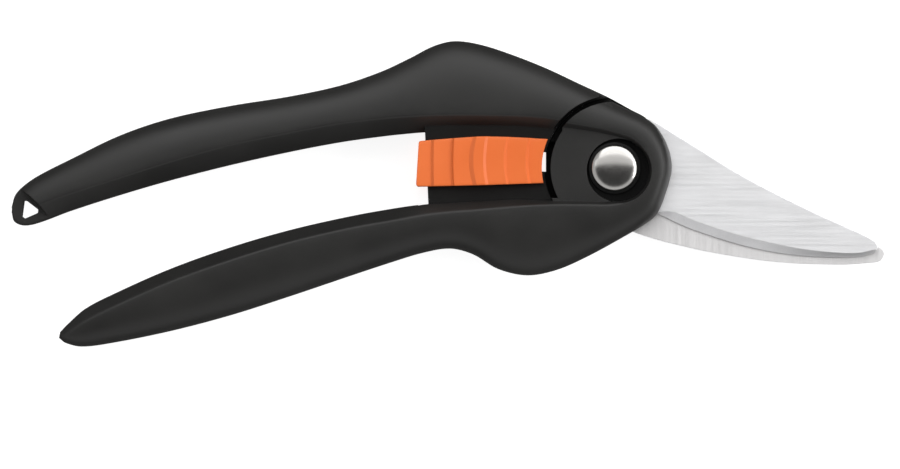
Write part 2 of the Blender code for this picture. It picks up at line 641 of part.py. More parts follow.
def lock_friction_spring():
    """A bowed strip under the front pad, whose middle bears on the web."""
    x0, x1 = STRIP_SPAN
    y0, y1 = STRIP_ROW
    rings = []
    steps = 8
    for i in range(steps + 1):
        t = i / steps
        x = x0 + (x1 - x0) * t
        low = WEB_FRONT + GAP + STRIP_BOW * (1 - 4 * t * (1 - t))
        high = low + STRIP_THICKNESS
        rings.append([(x, y0, low), (x, y1, low), (x, y1, high), (x, y0, high)])
    return between("lock_friction_spring", rings)


def latch_catch_pin():
    half = CATCH_LENGTH / 2
    return disc("latch_catch_pin", CATCH_RADIUS, MID - half, MID + half, 16, CATCH_CENTRE)


# ---------------------------------------------------------------- assembly


def material(name, colour, metallic, roughness):
    made = bpy.data.materials.new(name)
    made.use_nodes = True
    shader = made.node_tree.nodes["Principled BSDF"]
    shader.inputs["Base Color"].default_value = (*colour, 1.0)
    shader.inputs["Metallic"].default_value = metallic
    shader.inputs["Roughness"].default_value = roughness
    return made


def finish(obj, look):
    obj.data.materials.clear()
    obj.data.materials.append(look)
    if obj.type == "MESH":
        obj.data.shade_smooth()
        obj.data.set_sharp_from_angle(angle=math.radians(30))


def on_axis(name, location, pieces):
    """Parents a body's pieces to an empty on its joint's axis."""
    pivot = bpy.data.objects.new(name, None)
    pivot.location = Vector(location) * MM
    bpy.context.scene.collection.objects.link(pivot)
    for piece in pieces:
        piece.parent = pivot
        piece.matrix_parent_inverse = Matrix.Translation(-pivot.location)
    return pivot


def main():
    for obj in list(bpy.data.objects):
        bpy.data.objects.remove(obj)
    black = material("black_plastic", (0.035, 0.034, 0.033), 0.0, 0.5)
    steel = material("blade_steel", (0.72, 0.72, 0.72), 1.0, 0.32)
    polished = material("polished_steel", (0.78, 0.77, 0.75), 1.0, 0.12)
    dark_steel = material("dark_steel", (0.06, 0.06, 0.06), 1.0, 0.45)
    spring_steel = material("spring_steel", (0.45, 0.45, 0.46), 1.0, 0.3)
    orange = material("orange_plastic", (0.83, 0.2, 0.05), 0.0, 0.45)
    acetal = material("bushing_plastic", (0.7, 0.69, 0.65), 0.0, 0.4)

    lower, upper = lower_handle(), upper_handle()
    blade_front, blade_rear = front_blade(), rear_blade()
    rivet, washer_front, washer_rear, collar, bushing = pivot_pieces()
    spring = opening_spring()
    pad_front, pad_rear = lock_slider_front(), lock_slider_rear()
    latch, strip, catch = lock_latch(), lock_friction_spring(), latch_catch_pin()

    looks = {
        black: (lower, upper),
        steel: (blade_front, blade_rear),
        polished: (rivet, collar),
        dark_steel: (washer_front, washer_rear),
        spring_steel: (spring, strip, latch, catch),
        orange: (pad_front, pad_rear),
        acetal: (bushing,),
    }
    for look, pieces in looks.items():
        for piece in pieces:
            finish(piece, look)

    on_axis("lower_half", (0, 0, 0), (lower, blade_front, rivet, washer_front, washer_rear, collar,
                                      bushing, spring, catch))
    moving = on_axis("upper_half", (0, 0, MID), (upper, blade_rear))
    slider = on_axis("lock", (-32.5, 1.5, MID), (pad_front, pad_rear, latch, strip))
    slider.parent = moving
    slider.matrix_parent_inverse = Matrix.Translation(-moving.location)


main()
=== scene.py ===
"""Bypass pruner: the visible pieces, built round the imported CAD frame.

+X runs from the pivot to the blade tips, +Y to the upper handle, +Z up through the
thickness. Sizes are in millimetres; MM turns them into Blender's metres.
"""

import math

import bmesh
import bpy
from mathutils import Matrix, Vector


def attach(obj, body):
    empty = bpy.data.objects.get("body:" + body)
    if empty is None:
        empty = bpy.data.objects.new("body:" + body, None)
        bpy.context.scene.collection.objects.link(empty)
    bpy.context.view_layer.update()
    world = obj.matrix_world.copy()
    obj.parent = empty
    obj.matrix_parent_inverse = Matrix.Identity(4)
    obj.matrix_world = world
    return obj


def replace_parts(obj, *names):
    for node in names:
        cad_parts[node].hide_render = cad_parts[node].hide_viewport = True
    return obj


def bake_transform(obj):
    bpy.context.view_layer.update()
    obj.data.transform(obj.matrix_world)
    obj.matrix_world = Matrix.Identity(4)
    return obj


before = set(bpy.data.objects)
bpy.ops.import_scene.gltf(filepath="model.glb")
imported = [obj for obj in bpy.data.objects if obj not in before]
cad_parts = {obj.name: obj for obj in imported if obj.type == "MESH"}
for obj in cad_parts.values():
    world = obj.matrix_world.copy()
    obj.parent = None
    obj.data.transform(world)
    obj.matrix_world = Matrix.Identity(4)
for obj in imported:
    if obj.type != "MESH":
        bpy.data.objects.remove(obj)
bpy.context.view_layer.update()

MM = 0.001

# ---------------------------------------------------------------- sizes shared with the CAD

# Heights above the floor
THICKNESS = 16.0
MID = THICKNESS / 2
GAP = 0.3
HALF_GAP = GAP / 2
BLADE_THICKNESS = 2.0
FRONT_BLADE_TOP = MID + HALF_GAP + BLADE_THICKNESS
REAR_BLADE_BACK = MID - HALF_GAP - BLADE_THICKNESS
WEB_THICKNESS = 9.0
WEB_BACK = MID - WEB_THICKNESS / 2
WEB_FRONT = MID + WEB_THICKNESS / 2
CHANNEL_BACK = WEB_BACK - GAP
CHANNEL_FRONT = WEB_FRONT + GAP
ABOVE = THICKNESS + 1.0
BELOW = -1.0

# Hub, seen along the pivot: the lower handle's floor and raised rim, and the arc that the
# upper handle's head leaves free for them
HUB_RADIUS = 15.4
HUB_RIM_RADIUS = 15.9
HUB_FLOOR = 14.0
HUB_FLOOR_RADIUS = 11.2
GROOVE_FLOOR = 10.6
ARC_RADIUS = 16.9
ARC_FACE_RADIUS = 17.45
RECESS_CENTRE = (0.9, -0.6)
RECESS_RADII = (7.4, 8.1)
BLADE_DISC_RADIUS = 12.9
REAR_SWEEP_DEG = 250.0
FAR = 34.0

# Pivot stack
SHANK_RADIUS = 3.0
SHANK_CHAMFER = 0.3
HEAD_RADIUS = 5.6
HEAD_RIM = 0.5
HEAD_DOME = 1.5
WASHER_RADIUS = 6.2
WASHER_THICKNESS = 0.5
BUSHING_RADIUS = 4.2
BORE_RADIUS = BUSHING_RADIUS + GAP
COLLAR_HEIGHT = 2.4
COLLAR_CORNER = 0.4

# Opening spring
SPRING_WIRE = 0.3
SPRING_RADIUS = 5.35
SPRING_TURNS = 1.4
SPRING_PITCH = 0.68
SPRING_LEG_RADIUS = 6.5
SPRING_BEND = 0.4
SPRING_REST_DEG = 150.0
SPRING_CAVITY_RADIUS = 7.3
SPRING_CAVITY_TOP = 12.15
LEG_HOLE_RADIUS = 0.7
LEG_SLOT_SPARE_DEG = 9.0
OPENING_DEG = 30.0

# Lock
WEB_LEFT = -45.8
WEB_BOTTOM = -12.0
SLOT = (-44.2, -16.4, -0.85, 3.85)
SLIT = (-38.0, -30.2)
SLIT_HALF = 1.1
POST_ROWS = ((-39.2, -36.7), (-26.0, -21.0))
POST_BOTTOM = -0.55
POST_TOP = 3.55
PAD_POCKET_FLOOR = 1.6
CATCH_CENTRE = (-27.9, -13.9)
CATCH_RADIUS = 1.2
CATCH_LENGTH = 13.0
HOOK_GROOVE_X = (-39.5, -26.3)
HOOK_GROOVE_Y = (-16.9, -11.0)

# The pad's treads, from its left end: where each starts and how high it is over the web's face
PAD_TREADS = ((-47.7, 1.5), (-44.0, 2.0), (-38.9, 2.6), (-34.0, 3.1), (-31.0, 2.7), (-26.0, 2.2),
              (-20.7, 1.6))
PAD_TOP = [(-47.7, 6.45), (-40.0, 7.05), (-32.0, 7.6), (-24.0, 7.4), (-15.5, 6.9)]
PAD_BOTTOM = [(-47.9, -4.5), (-32.0, -4.15), (-15.5, -3.6)]
PAD_RIGHT = -15.5
PAD_END_RADIUS = 17.5

# Ribs of a handle, from its tail to the end of its hub rim. Each has its outer point, its
# crease and its inner point in plan, then the half thickness at the crease and at the inner
# point. A handle's two halves share the ribs marked as whole.
LOWER_WHOLE_RIBS = [
    ((-133.7, -40.9), (-133.3, -40.3), (-133.4, -39.5), 3.0, 2.4),
    ((-132.2, -42.1), (-131.2, -39.2), (-131.6, -37.6), 4.4, 2.6),
    ((-128.3, -43.0), (-127.6, -36.9), (-127.4, -33.9), 5.6, 2.8),
    ((-121.4, -42.2), (-120.5, -33.4), (-120.5, -30.3), 6.6, 3.0),
    ((-107.0, -39.3), (-107.0, -27.4), (-107.0, -24.3), 7.6, 3.0),
    ((-92.5, -35.5), (-92.5, -22.2), (-92.5, -19.1), 8.0, 3.0),
    ((-78.1, -30.9), (-78.1, -17.8), (-78.1, -14.9), 8.0, 3.0),
    ((-63.6, -26.0), (-63.6, -14.4), (-63.6, -11.6), 8.0, 3.0),
    ((-53.0, -22.5), (-53.0, -12.5), (-53.0, -9.7), 8.0, 3.2),
    ((-46.0, -20.4), (-46.0, -11.3), (-46.0, -8.75), 8.0, 4.9),
    ((-39.5, -19.4), (-39.5, -10.5), (-39.5, -8.35), 8.0, 4.9),
    ((-34.0, -20.8), (-34.0, -10.1), (-34.0, -8.0), 8.0, 4.9),
    ((-28.0, -24.3), (-28.0, -9.55), (-28.0, -7.7), 8.0, 4.9),
    ((-21.0, -25.85), (-21.0, -9.0), (-21.0, -7.45), 8.0, 4.9),
    ((-14.0, -24.6), (-14.0, -8.7), (-14.0, -7.4), 8.0, 4.5),
    ((-7.0, -21.6), (-7.0, -8.7), (-7.0, -7.4), 8.0, 4.3),
]
LOWER_HUB_RIBS = [
    ((1.6, -16.95), (-0.5, -8.7), (-1.0, -7.3), 8.0, 4.2),
    ((8.4, -12.85), (3.6, -7.6), (3.0, -6.3), 8.0, 4.2),
    ((10.5, -10.7), (6.0, -6.0), (4.9, -4.9), 8.0, 4.2),
    ((12.5, -5.8), (7.8, -3.4), (6.5, -2.8), 8.0, 4.2),
    ((13.85, 0.0), (8.4, 0.0), (6.95, 0.0), 8.0, 4.2),
    ((12.9, 5.2), (7.6, 3.5), (6.2, 2.9), 8.0, 4.2),
    ((10.2, 9.9), (5.9, 5.9), (4.8, 4.8), 8.0, 4.2),
    ((7.1, 12.3), (3.4, 7.6), (2.6, 6.1), 8.0, 4.2),
    ((3.8, 13.95), (-1.0, 8.9), (-1.5, 7.2), 8.0, 4.2),
    ((-0.5, 15.95), (-7.0, 10.1), (-7.5, 8.1), 8.0, 4.2),
    ((-6.0, 18.8), (-15.0, 11.4), (-15.5, 9.0), 8.0, 4.2),
]
UPPER_WHOLE_RIBS = [
    ((-145.05, -9.2), (-144.9, -9.9), (-145.05, -10.7), 3.4, 2.2),
    ((-144.2, -6.4), (-143.7, -10.4), (-144.4, -12.9), 5.0, 2.2),
    ((-141.9, -4.0), (-141.4, -9.9), (-142.0, -13.85), 5.9, 2.3),
    ((-138.3, -1.6), (-138.2, -8.9), (-138.3, -13.1), 6.4, 2.4),
    ((-131.1, 2.05), (-131.1, -6.3), (-131.1, -10.4), 6.9, 2.4),
    ((-119.0, 7.9), (-119.0, -2.5), (-119.0, -6.5), 7.6, 2.4),
    ((-107.0, 11.95), (-107.0, 1.35), (-107.0, -3.0), 8.0, 2.4),
    ((-92.5, 15.0), (-92.5, 5.4), (-92.5, 0.7), 8.0, 2.4),
    ((-78.1, 17.3), (-78.1, 8.4), (-78.1, 3.9), 8.0, 2.4),
    ((-66.0, 19.9), (-66.0, 10.6), (-66.0, 6.2), 8.0, 2.4),
    ((-56.0, 23.3), (-56.0, 11.8), (-56.0, 7.6), 8.0, 2.4),
    ((-49.0, 26.6), (-49.0, 12.35), (-49.0, 8.35), 8.0, 2.4),
    ((-43.5, 29.4), (-43.5, 12.6), (-43.5, 8.75), 8.0, 2.4),
    ((-38.4, 30.6), (-38.4, 12.7), (-38.4, 8.9), 8.0, 2.4),
    ((-32.0, 29.7), (-32.0, 12.65), (-32.0, 8.9), 8.0, 2.4),
    ((-24.0, 27.1), (-24.0, 12.5), (-24.0, 8.8), 8.0, 2.4),
    ((-16.0, 23.9), (-16.0, 12.0), (-16.0, 8.4), 8.0, 3.0),
    ((-9.0, 20.6), (-9.0, 10.7), (-9.0, 7.6), 8.0, 4.2),
    ((-1.0, 16.85), (-2.4, 9.3), (-2.6, 7.3), 8.0, 4.2),
]
UPPER_HUB_RIBS = [
    ((3.8, 14.2), (1.6, 8.4), (1.2, 6.9), 8.0, 4.2),
    ((7.6, 12.15), (4.6, 6.9), (3.8, 5.6), 8.0, 4.2),
    ((10.7, 9.2), (6.7, 4.8), (5.5, 4.0), 8.0, 4.2),
    ((13.9, 4.5), (8.0, 2.4), (6.6, 2.0), 8.0, 4.2),
    ((14.6, -0.5), (8.4, -0.6), (6.95, -0.5), 8.0, 4.2),
    ((13.5, -5.6), (7.7, -3.8), (6.4, -3.1), 8.0, 4.2),
    ((10.4, -10.4), (5.8, -6.3), (4.9, -5.0), 8.0, 4.2),
    ((5.5, -14.1), (2.6, -8.2), (2.2, -6.6), 8.0, 4.2),
    ((-0.5, -15.3), (-2.0, -8.7), (-2.0, -7.3), 8.0, 4.2),
    ((-7.0, -13.6), (-7.5, -8.7), (-7.5, -7.3), 8.0, 4.2),
    ((-12.2, -9.3), (-12.5, -8.5), (-12.8, -7.3), 8.0, 4.2),
]

# Hanging loop at the upper handle's tail
LOOP_HALF = 3.0
LOOP_FOOT = [(-143.4, -4.6), (-135.6, -12.2), (-138.0, -20.0), (-150.0, -16.0), (-150.0, -2.0)]
LOOP_HEAD = [(-142.6, -3.8), (-134.8, -11.4), (-138.0, -21.0), (-151.0, -16.0), (-151.0, -1.0)]
HANG_HOLE = [(-142.1, -7.9), (-141.2, -8.0), (-138.6, -10.0), (-138.7, -10.8), (-141.9, -12.2),
             (-142.6, -11.7)]

# Blade outlines, with rounder tips than in the CAD
FRONT_SPINE = [(8.6, 11.8), (18.3, 5.8), (31.7, -2.4), (47.2, -10.3), (60.0, -16.1), (62.5, -17.5)]
FRONT_TIP = [(63.1, -18.1), (63.4, -18.9), (63.2, -19.8)]
FRONT_EDGE = [(62.4, -20.6), (59.0, -21.3), (52.0, -21.45), (44.0, -20.95), (36.0, -19.75),
              (28.0, -17.75), (18.0, -14.4), (14.0, -12.6), (10.9, -11.1)]
FRONT_HEEL = [(10.3, -10.7)]
FRONT_TANG = [(4.5, -13.0), (-2.5, -16.6), (-12.0, -21.6), (-19.0, -22.7), (-24.0, -21.2),
              (-24.3, -18.0), (-19.0, -15.2), (-12.2, -13.7)]
REAR_EDGE = [(14.2, -4.0), (20.0, -8.8), (30.0, -13.9), (40.0, -16.8), (50.0, -18.3),
             (58.0, -18.9), (62.9, -18.9)]
REAR_TIP = [(64.1, -19.15), (64.9, -19.9), (65.1, -20.7), (64.7, -21.7), (64.1, -22.4)]
REAR_SPINE = [(63.0, -22.75), (54.9, -23.25), (39.5, -22.65), (24.0, -20.4), (12.5, -17.8),
              (5.5, -15.7), (2.2, -14.2), (-1.0, -12.9)]
REAR_TANG = [(-14.0, 6.7), (-24.0, 7.0), (-31.5, 9.0), (-34.0, 14.0), (-33.0, 20.0),
             (-27.0, 22.2), (-19.0, 20.2), (-10.0, 16.4), (-3.0, 13.2)]
BEVEL_WIDTH = 2.0
BEVEL_TIP_WIDTH = 0.85
BEVEL_TAPER_X = (36.0, 58.0)
BEVEL_HEEL_X = (10.6, 14.0)
EDGE_LAND = 0.25

# ---------------------------------------------------------------- finer detail

# The flange under the groove between the hub and the upper handle is 0.2 mm wider than in
# the CAD, so that the bright blade behind it doesn't show through the gap
HUB_FLANGE_RADIUS = 16.8
ARC_SEGMENTS = 180

# How square the handles' sections are: 2 is an ellipse, and more is squarer
EDGE_POWER = 2.6
HUB_POWER = 3.2
FACE_STEPS = 18
RIB_STEPS = 6
CREASE_FILLET = 0.5
# How many fillets before the crease a handle's curved side ends
CREASE_APPROACH = 1.2
INNER_FILLET = 0.5
FILLET_STEPS = 4
# A sharp corner of an outline moves at most this many times as far as its sides do
MITRE_LIMIT = 2.0
LEAST_SPAN = 0.01

# A shallow line on the hub's nose, which parts a thin outer lip from the main face
NOSE_LINE = [(9.2, 10.1), (10.6, 8.3), (11.7, 5.4), (12.25, 1.1), (12.0, -3.2), (11.1, -6.7),
             (10.0, -9.6)]
NOSE_LINE_FOOT = 0.5
NOSE_LINE_RISE = 2.4
NOSE_LINE_FLOOR = MID + 7.3
NOSE_LINE_FADE = 0.6
NOSE_LINE_FADE_POWER = 4

BLADE_CORNER = 0.12
WASHER_CORNER = 0.12
BUSHING_CORNER = 0.2
# The rivet head's rolled lower edge, and how far in and up the middle of it lies
HEAD_ROLL = 0.25
HEAD_ROLL_HALFWAY = 0.07

PAD_FILLET = 0.3
# How far each of the pad's steps reaches along it, and how far the step bows towards its left end
PAD_RISERS = (0.6, 0.4, 0.9, 0.7, 0.55, 0.55)
PAD_BOWS = [(-47.7, 0.0), (-44.0, 0.1), (-38.9, 0.2), (-34.0, 1.0), (-31.0, 0.6), (-26.0, 0.6),
            (-20.7, 0.7)]
PAD_SCALLOP = 0.05
PAD_LEAN = 0.6
PAD_LEAN_REACH = 3.0
PAD_CORNER = 0.6
PAD_CORNER_SHARES = (0.0, 0.06, 0.2, 0.45, 0.75, 1.0)
PAD_END_HEIGHT_SHARE = 0.93
PAD_STEP_EASE = 0.12
PAD_ROW_STEPS = 14

# Turns sharper than these stay crisp in the shading
SHARP_DEG = 30.0
PAD_SHARP_DEG = 25.0
BLADE_SHARP_DEG = 12.0

# A face counts as level when the upward or downward part of its normal is over this
LEVEL_NORMAL = 0.9
BLADE_LEVEL_NORMAL = 0.95
# The hub's groove has its painted shade to the left of this
GROOVE_END_X = -3.0


# ---------------------------------------------------------------- curves in plan


def arc(radius, start_deg, end_deg, steps):
    """Points round the pivot, from one angle to the other."""
    points = []
    for i in range(steps + 1):
        angle = math.radians(start_deg + (end_deg - start_deg) * i / steps)
        points.append((radius * math.cos(angle), radius * math.sin(angle)))
    return points


def smooth(keys, per_span):
    """A smooth curve through rows of numbers, spaced by the first two numbers of each row."""
    rows = [Vector(key) for key in keys]
    at = [0.0]
    for a, b in zip(rows, rows[1:]):
        at.append(at[-1] + max((Vector(b[:2]) - Vector(a[:2])).length, LEAST_SPAN))
    slopes = []
    for i in range(len(rows)):
        low, high = max(i - 1, 0), min(i + 1, len(rows) - 1)
        slopes.append((rows[high] - rows[low]) / (at[high] - at[low]))
    out = [rows[0]]
    for i in range(len(rows) - 1):
        span = at[i + 1] - at[i]
        for k in range(1, per_span + 1):
            t = k / per_span
            t2, t3 = t * t, t * t * t
            out.append(
                rows[i] * (2 * t3 - 3 * t2 + 1)
                + slopes[i] * span * (t3 - 2 * t2 + t)
                + rows[i + 1] * (3 * t2 - 2 * t3)
                + slopes[i + 1] * span * (t3 - t2)
            )
    return [tuple(row) for row in out]


def grown(outline, distance):
    """A closed outline moved outwards by a distance; inwards if it is negative."""
    area = sum(a[0] * b[1] - b[0] * a[1] for a, b in zip(outline, outline[1:] + outline[:1]))
    turn = 1 if area > 0 else -1
    out = []
    for i, point in enumerate(outline):
        before, after = Vector(outline[i - 1]), Vector(outline[(i + 1) % len(outline)])
        here = Vector(point)
        along_in, along_out = (here - before).normalized(), (after - here).normalized()
        normal = Vector((along_in.y + along_out.y, -along_in.x - along_out.x)).normalized() * turn
        lean = max(normal.dot(Vector((along_in.y, -along_in.x)) * turn), 1 / MITRE_LIMIT)
        out.append(tuple(here + normal * distance / lean))
    return out


def shifted(path, distance_at):
    """An open path moved to its right, as it runs, by a distance that is worked out from x."""
    out = []
    for i, (x, y) in enumerate(path):
        before, after = Vector(path[max(i - 1, 0)]), Vector(path[min(i + 1, len(path) - 1)])
        along = (after - before).normalized()
        distance = distance_at(x)
        out.append((x + along.y * distance, y - along.x * distance))
    return out


def rounded(start, corner, end, steps):
    """Points of a curve from start to end that leaves and arrives along the corner's two sides."""
    out = []
    for k in range(steps + 1):
        t = k / steps
        out.append(start * (1 - t) ** 2 + corner * 2 * t * (1 - t) + end * t ** 2)
    return out


def row_at(curve, x):
    """The y of a line of points at this x, level beyond its two ends."""
    for (xa, ya), (xb, yb) in zip(curve, curve[1:]):
        if xa <= x <= xb:
            return ya + (yb - ya) * (x - xa) / (xb - xa)
    return curve[0][1] if x < curve[0][0] else curve[-1][1]


# ---------------------------------------------------------------- meshes


def mesh_object(name, vertices, faces):
    """An object from millimetre points, with its faces turned outwards."""
    mesh = bpy.data.meshes.new(name)
    mesh.from_pydata([tuple(c * MM for c in v) for v in vertices], [], faces)
    form = bmesh.new()
    form.from_mesh(mesh)
    bmesh.ops.recalc_face_normals(form, faces=form.faces)
    form.to_mesh(mesh)
    form.free()
    obj = bpy.data.objects.new(name, mesh)
    bpy.context.scene.collection.objects.link(obj)
    return obj


def between(name, rings):
    """A solid between closed rings of points, with the first and the last capped."""
    count = len(rings[0])
    vertices = [point for ring in rings for point in ring]
    faces = [tuple(range(count)), tuple(range(len(vertices) - count, len(vertices)))]
    for r in range(len(rings) - 1):
        for i in range(count):
            j = (i + 1) % count
            low, high = r * count, (r + 1) * count
            faces.append((low + i, low + j, high + j, high + i))
    return mesh_object(name, vertices, faces)


def prism(name, outline, low, high):
    """A closed outline raised from one height to another."""
    return between(name, [[(x, y, low) for x, y in outline], [(x, y, high) for x, y in outline]])


def box(name, x_span, y_span, z_span):
    (x0, x1), (y0, y1) = x_span, y_span
    return prism(name, [(x0, y0), (x1, y0), (x1, y1), (x0, y1)], *z_span)


def stacked(name, levels, segments, centre=(0.0, 0.0)):
    """A solid of round levels, each with its radius and height."""
    return between(name, [[(x + centre[0], y + centre[1], z)
                           for x, y in arc(radius, 0, 360, segments)[:-1]]
                          for radius, z in levels])


def disc(name, radius, low, high, segments=96, centre=(0.0, 0.0)):
    return stacked(name, [(radius, low), (radius, high)], segments, centre)


def turned(name, profile, segments=96):
    """A closed profile of (radius, height) turned round the pivot's axis."""
    vertices, faces = [], []
    for i in range(segments):
        angle = 2 * math.pi * i / segments
        for radius, z in profile:
            vertices.append((radius * math.cos(angle), radius * math.sin(angle), z))
    count = len(profile)
    for i in range(segments):
        here, there = i * count, ((i + 1) % segments) * count
        for k in range(count):
            n = (k + 1) % count
            faces.append((here + k, here + n, there + n, there + k))
    return mesh_object(name, vertices, faces)


def combine(target, tool, operation):
    """Applies one Boolean to the target and removes the tool."""
    modifier = target.modifiers.new("shape", "BOOLEAN")
    modifier.operation = operation
    modifier.object = tool
    bpy.context.view_layer.update()
    graph = bpy.context.evaluated_depsgraph_get()
    made = bpy.data.meshes.new_from_object(target.evaluated_get(graph))
    target.modifiers.clear()
    old = target.data
    target.data = made
    made.name = target.name
    bpy.data.meshes.remove(old)
    bpy.data.objects.remove(tool)


def cut(target, *tools):
    for tool in tools:
        combine(target, tool, "DIFFERENCE")


def join(target, *tools):
    for tool in tools:
        combine(target, tool, "UNION")


def dress(piece, body, look, sharp_deg=SHARP_DEG):
    """Shades a piece smoothly up to an angle, paints it, and lets it ride on its body, if any."""
    piece.data.materials.clear()
    piece.data.materials.append(look)
    piece.data.shade_smooth()
    piece.data.set_sharp_from_angle(angle=math.radians(sharp_deg))
    if body:
        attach(piece, body)
    return piece


# ---------------------------------------------------------------- handles


def rib_profile(rib, side, foot):
    """One half of a handle's section: a curve up to the crease and a slope down from it.

    Both ends stop at the foot, a height over the middle of the thickness.
    """
    outer_x, outer_y, crease_x, crease_y, inner_x, inner_y, peak, low, power = rib
    peak = min(peak, MID)
    outer = Vector((outer_x, outer_y, 0.0))
    crease = Vector((crease_x, crease_y, peak))
    inner = Vector((inner_x, inner_y, low))
    across = Vector((crease.x - outer.x, crease.y - outer.y, 0.0))
    down = inner - crease
    fillet = min(CREASE_FILLET, across.length / 4, down.length / 4)
    foot_point = Vector((outer.x, outer.y, foot))
    points = [foot_point]
    for k in range(1, FACE_STEPS):
        turn = math.pi / 2 * k / FACE_STEPS
        share = 1 - math.cos(turn) ** (2 / power)
        if (1 - share) * across.length > fillet * CREASE_APPROACH:
            height = max(peak * math.sin(turn) ** (2 / power), foot)
            points.append(outer + across * share + Vector((0, 0, height)))
        else:
            points.append(crease - across.normalized() * fillet * CREASE_APPROACH)
    points += rounded(crease - across.normalized() * fillet, crease,
                      crease + down.normalized() * fillet, FILLET_STEPS)
    edge = min(INNER_FILLET, down.length / 4)
    below = inner - Vector((0, 0, edge))
    points += rounded(inner - down.normalized() * edge, inner, below, FILLET_STEPS)
    points.append(Vector((inner.x, inner.y, foot)))
    return [(p.x, p.y, MID + side * p.z) for p in points]


def flat_rows(ribs, power):
    """Ribs as rows of nine numbers, with the power of their outer side last."""
    return [tuple(outer) + tuple(crease) + tuple(inner) + (peak, low, power)
            for outer, crease, inner, peak, low in ribs]


def handle_body(name, whole_ribs, hub_ribs, hub_side):
    """The whole handle along its grip, and one half of it on round the hub."""
    rows = smooth(flat_rows(whole_ribs, EDGE_POWER) + flat_rows(hub_ribs, HUB_POWER), RIB_STEPS)
    whole = (len(whole_ribs) - 1) * RIB_STEPS + 1
    steps = len(rib_profile(rows[0], 1, 0.0))
    vertices, faces = [], []
    halves = {1: [], -1: []}
    # The grip's ribs serve both halves, which share their outer and inner edge points
    for i, row in enumerate(rows):
        if i < whole:
            front, back = rib_profile(row, 1, 0.0), rib_profile(row, -1, 0.0)
            first = len(vertices)
            vertices += front + back[1:-1]
            halves[1].append(list(range(first, first + steps)))
            halves[-1].append([first] + list(range(first + steps, first + 2 * steps - 2))
                              + [first + steps - 1])
        else:
            first = len(vertices)
            vertices += rib_profile(row, hub_side, HALF_GAP)
            halves[hub_side].append(list(range(first, first + steps)))
    for side in halves:
        for a, b in zip(halves[side], halves[side][1:]):
            for k in range(steps - 1):
                faces.append((a[k], a[k + 1], b[k + 1], b[k]))
    hub = halves[hub_side]
    for a, b in zip(hub[whole - 1:], hub[whole:]):
        faces.append((a[0], a[-1], b[-1], b[0]))
    faces.append(tuple(halves[1][0]) + tuple(reversed(halves[-1][0][1:-1])))
    faces.append(tuple(hub[-1]))
    faces.append(tuple(halves[-hub_side][whole - 1]))
    return mesh_object(name, vertices, faces)


def lower_handle():
    """The handle with the hub's front: floor, recess and groove, and room for what moves."""
    body = handle_body("lower_handle_shell", LOWER_WHOLE_RIBS, LOWER_HUB_RIBS, 1)
    floor = arc(ARC_RADIUS, 95, 212, 48) + [(-10.0, -12.6), (0.0, -12.6), (8.0, -8.6)]
    floor += arc(HUB_FLOOR_RADIUS, -40, 50, 30) + [(3.0, 12.0), (0.0, 13.4)]
    join(body, prism("hub_floor", floor, MID + HALF_GAP, HUB_FLOOR))
    # The upper handle's side of the arc
    beyond = [(-30.0, -7.25), (-30.0, FAR), (3.0, FAR)]
    flange = arc(HUB_FLANGE_RADIUS, 84, 208, 90) + beyond
    cut(body, prism("flange_edge", flange, MID, ABOVE))
    groove = arc(HUB_RIM_RADIUS, 84, 142, 48) + arc(HUB_RADIUS, 145, 208, 48) + beyond
    cut(body, prism("groove", groove, GROOVE_FLOOR, ABOVE))
    recess = zip(RECESS_RADII, (WEB_FRONT, ABOVE))
    cut(body, stacked("rivet_recess", recess, 96, RECESS_CENTRE))
    channel = [(-47.2, -12.5)] + arc(HUB_RADIUS, 234.3, 156, 60) + [(-47.2, 6.26)]
    cut(body, prism("channel", channel, CHANNEL_BACK, CHANNEL_FRONT))
    edge = math.radians(REAR_SWEEP_DEG)
    sweep = [(0.0, 0.0), (FAR * math.cos(edge), FAR * math.sin(edge)), (FAR, -FAR), (FAR, FAR),
             (-5.0, FAR)]
    cut(body, disc("rear_clearance", ARC_RADIUS, BELOW, MID + HALF_GAP, ARC_SEGMENTS))
    cut(body, prism("rear_sweep", sweep, BELOW, MID + HALF_GAP))
    blade = grown(front_blade_outline(), GAP)
    cut(body, prism("blade_pocket", blade, MID - HALF_GAP, FRONT_BLADE_TOP + GAP))
    cut(body, disc("spring_cavity", SPRING_CAVITY_RADIUS, MID, SPRING_CAVITY_TOP))
    cut(body, disc("bore", BORE_RADIUS, MID, ABOVE))
    slit = (MID - SLIT_HALF, MID + SLIT_HALF)
    cut(body, box("hook_groove", HOOK_GROOVE_X, HOOK_GROOVE_Y, slit))
    half = CATCH_LENGTH / 2 + GAP
    cut(body, disc("catch_hole", CATCH_RADIUS + GAP, MID - half, MID + half, 32, CATCH_CENTRE))
    cut(body, nose_line())
    return body


def nose_line():
    """A shallow cut along the nose: a sloping inner side and a level foot, fading at both ends."""
    line = smooth(NOSE_LINE, 8)
    rings = []
    inner_side = shifted(line, lambda x: NOSE_LINE_RISE)
    outer_side = shifted(line, lambda x: -NOSE_LINE_FOOT)
    for i, (inner, outer) in enumerate(zip(inner_side, outer_side)):
        fade = abs(2 * i / (len(line) - 1) - 1) ** NOSE_LINE_FADE_POWER
        low = NOSE_LINE_FLOOR + NOSE_LINE_FADE * fade
        rings.append([(*line[i], low), (*outer, low), (*outer, ABOVE), (*inner, ABOVE)])
    return between("nose_line", rings)


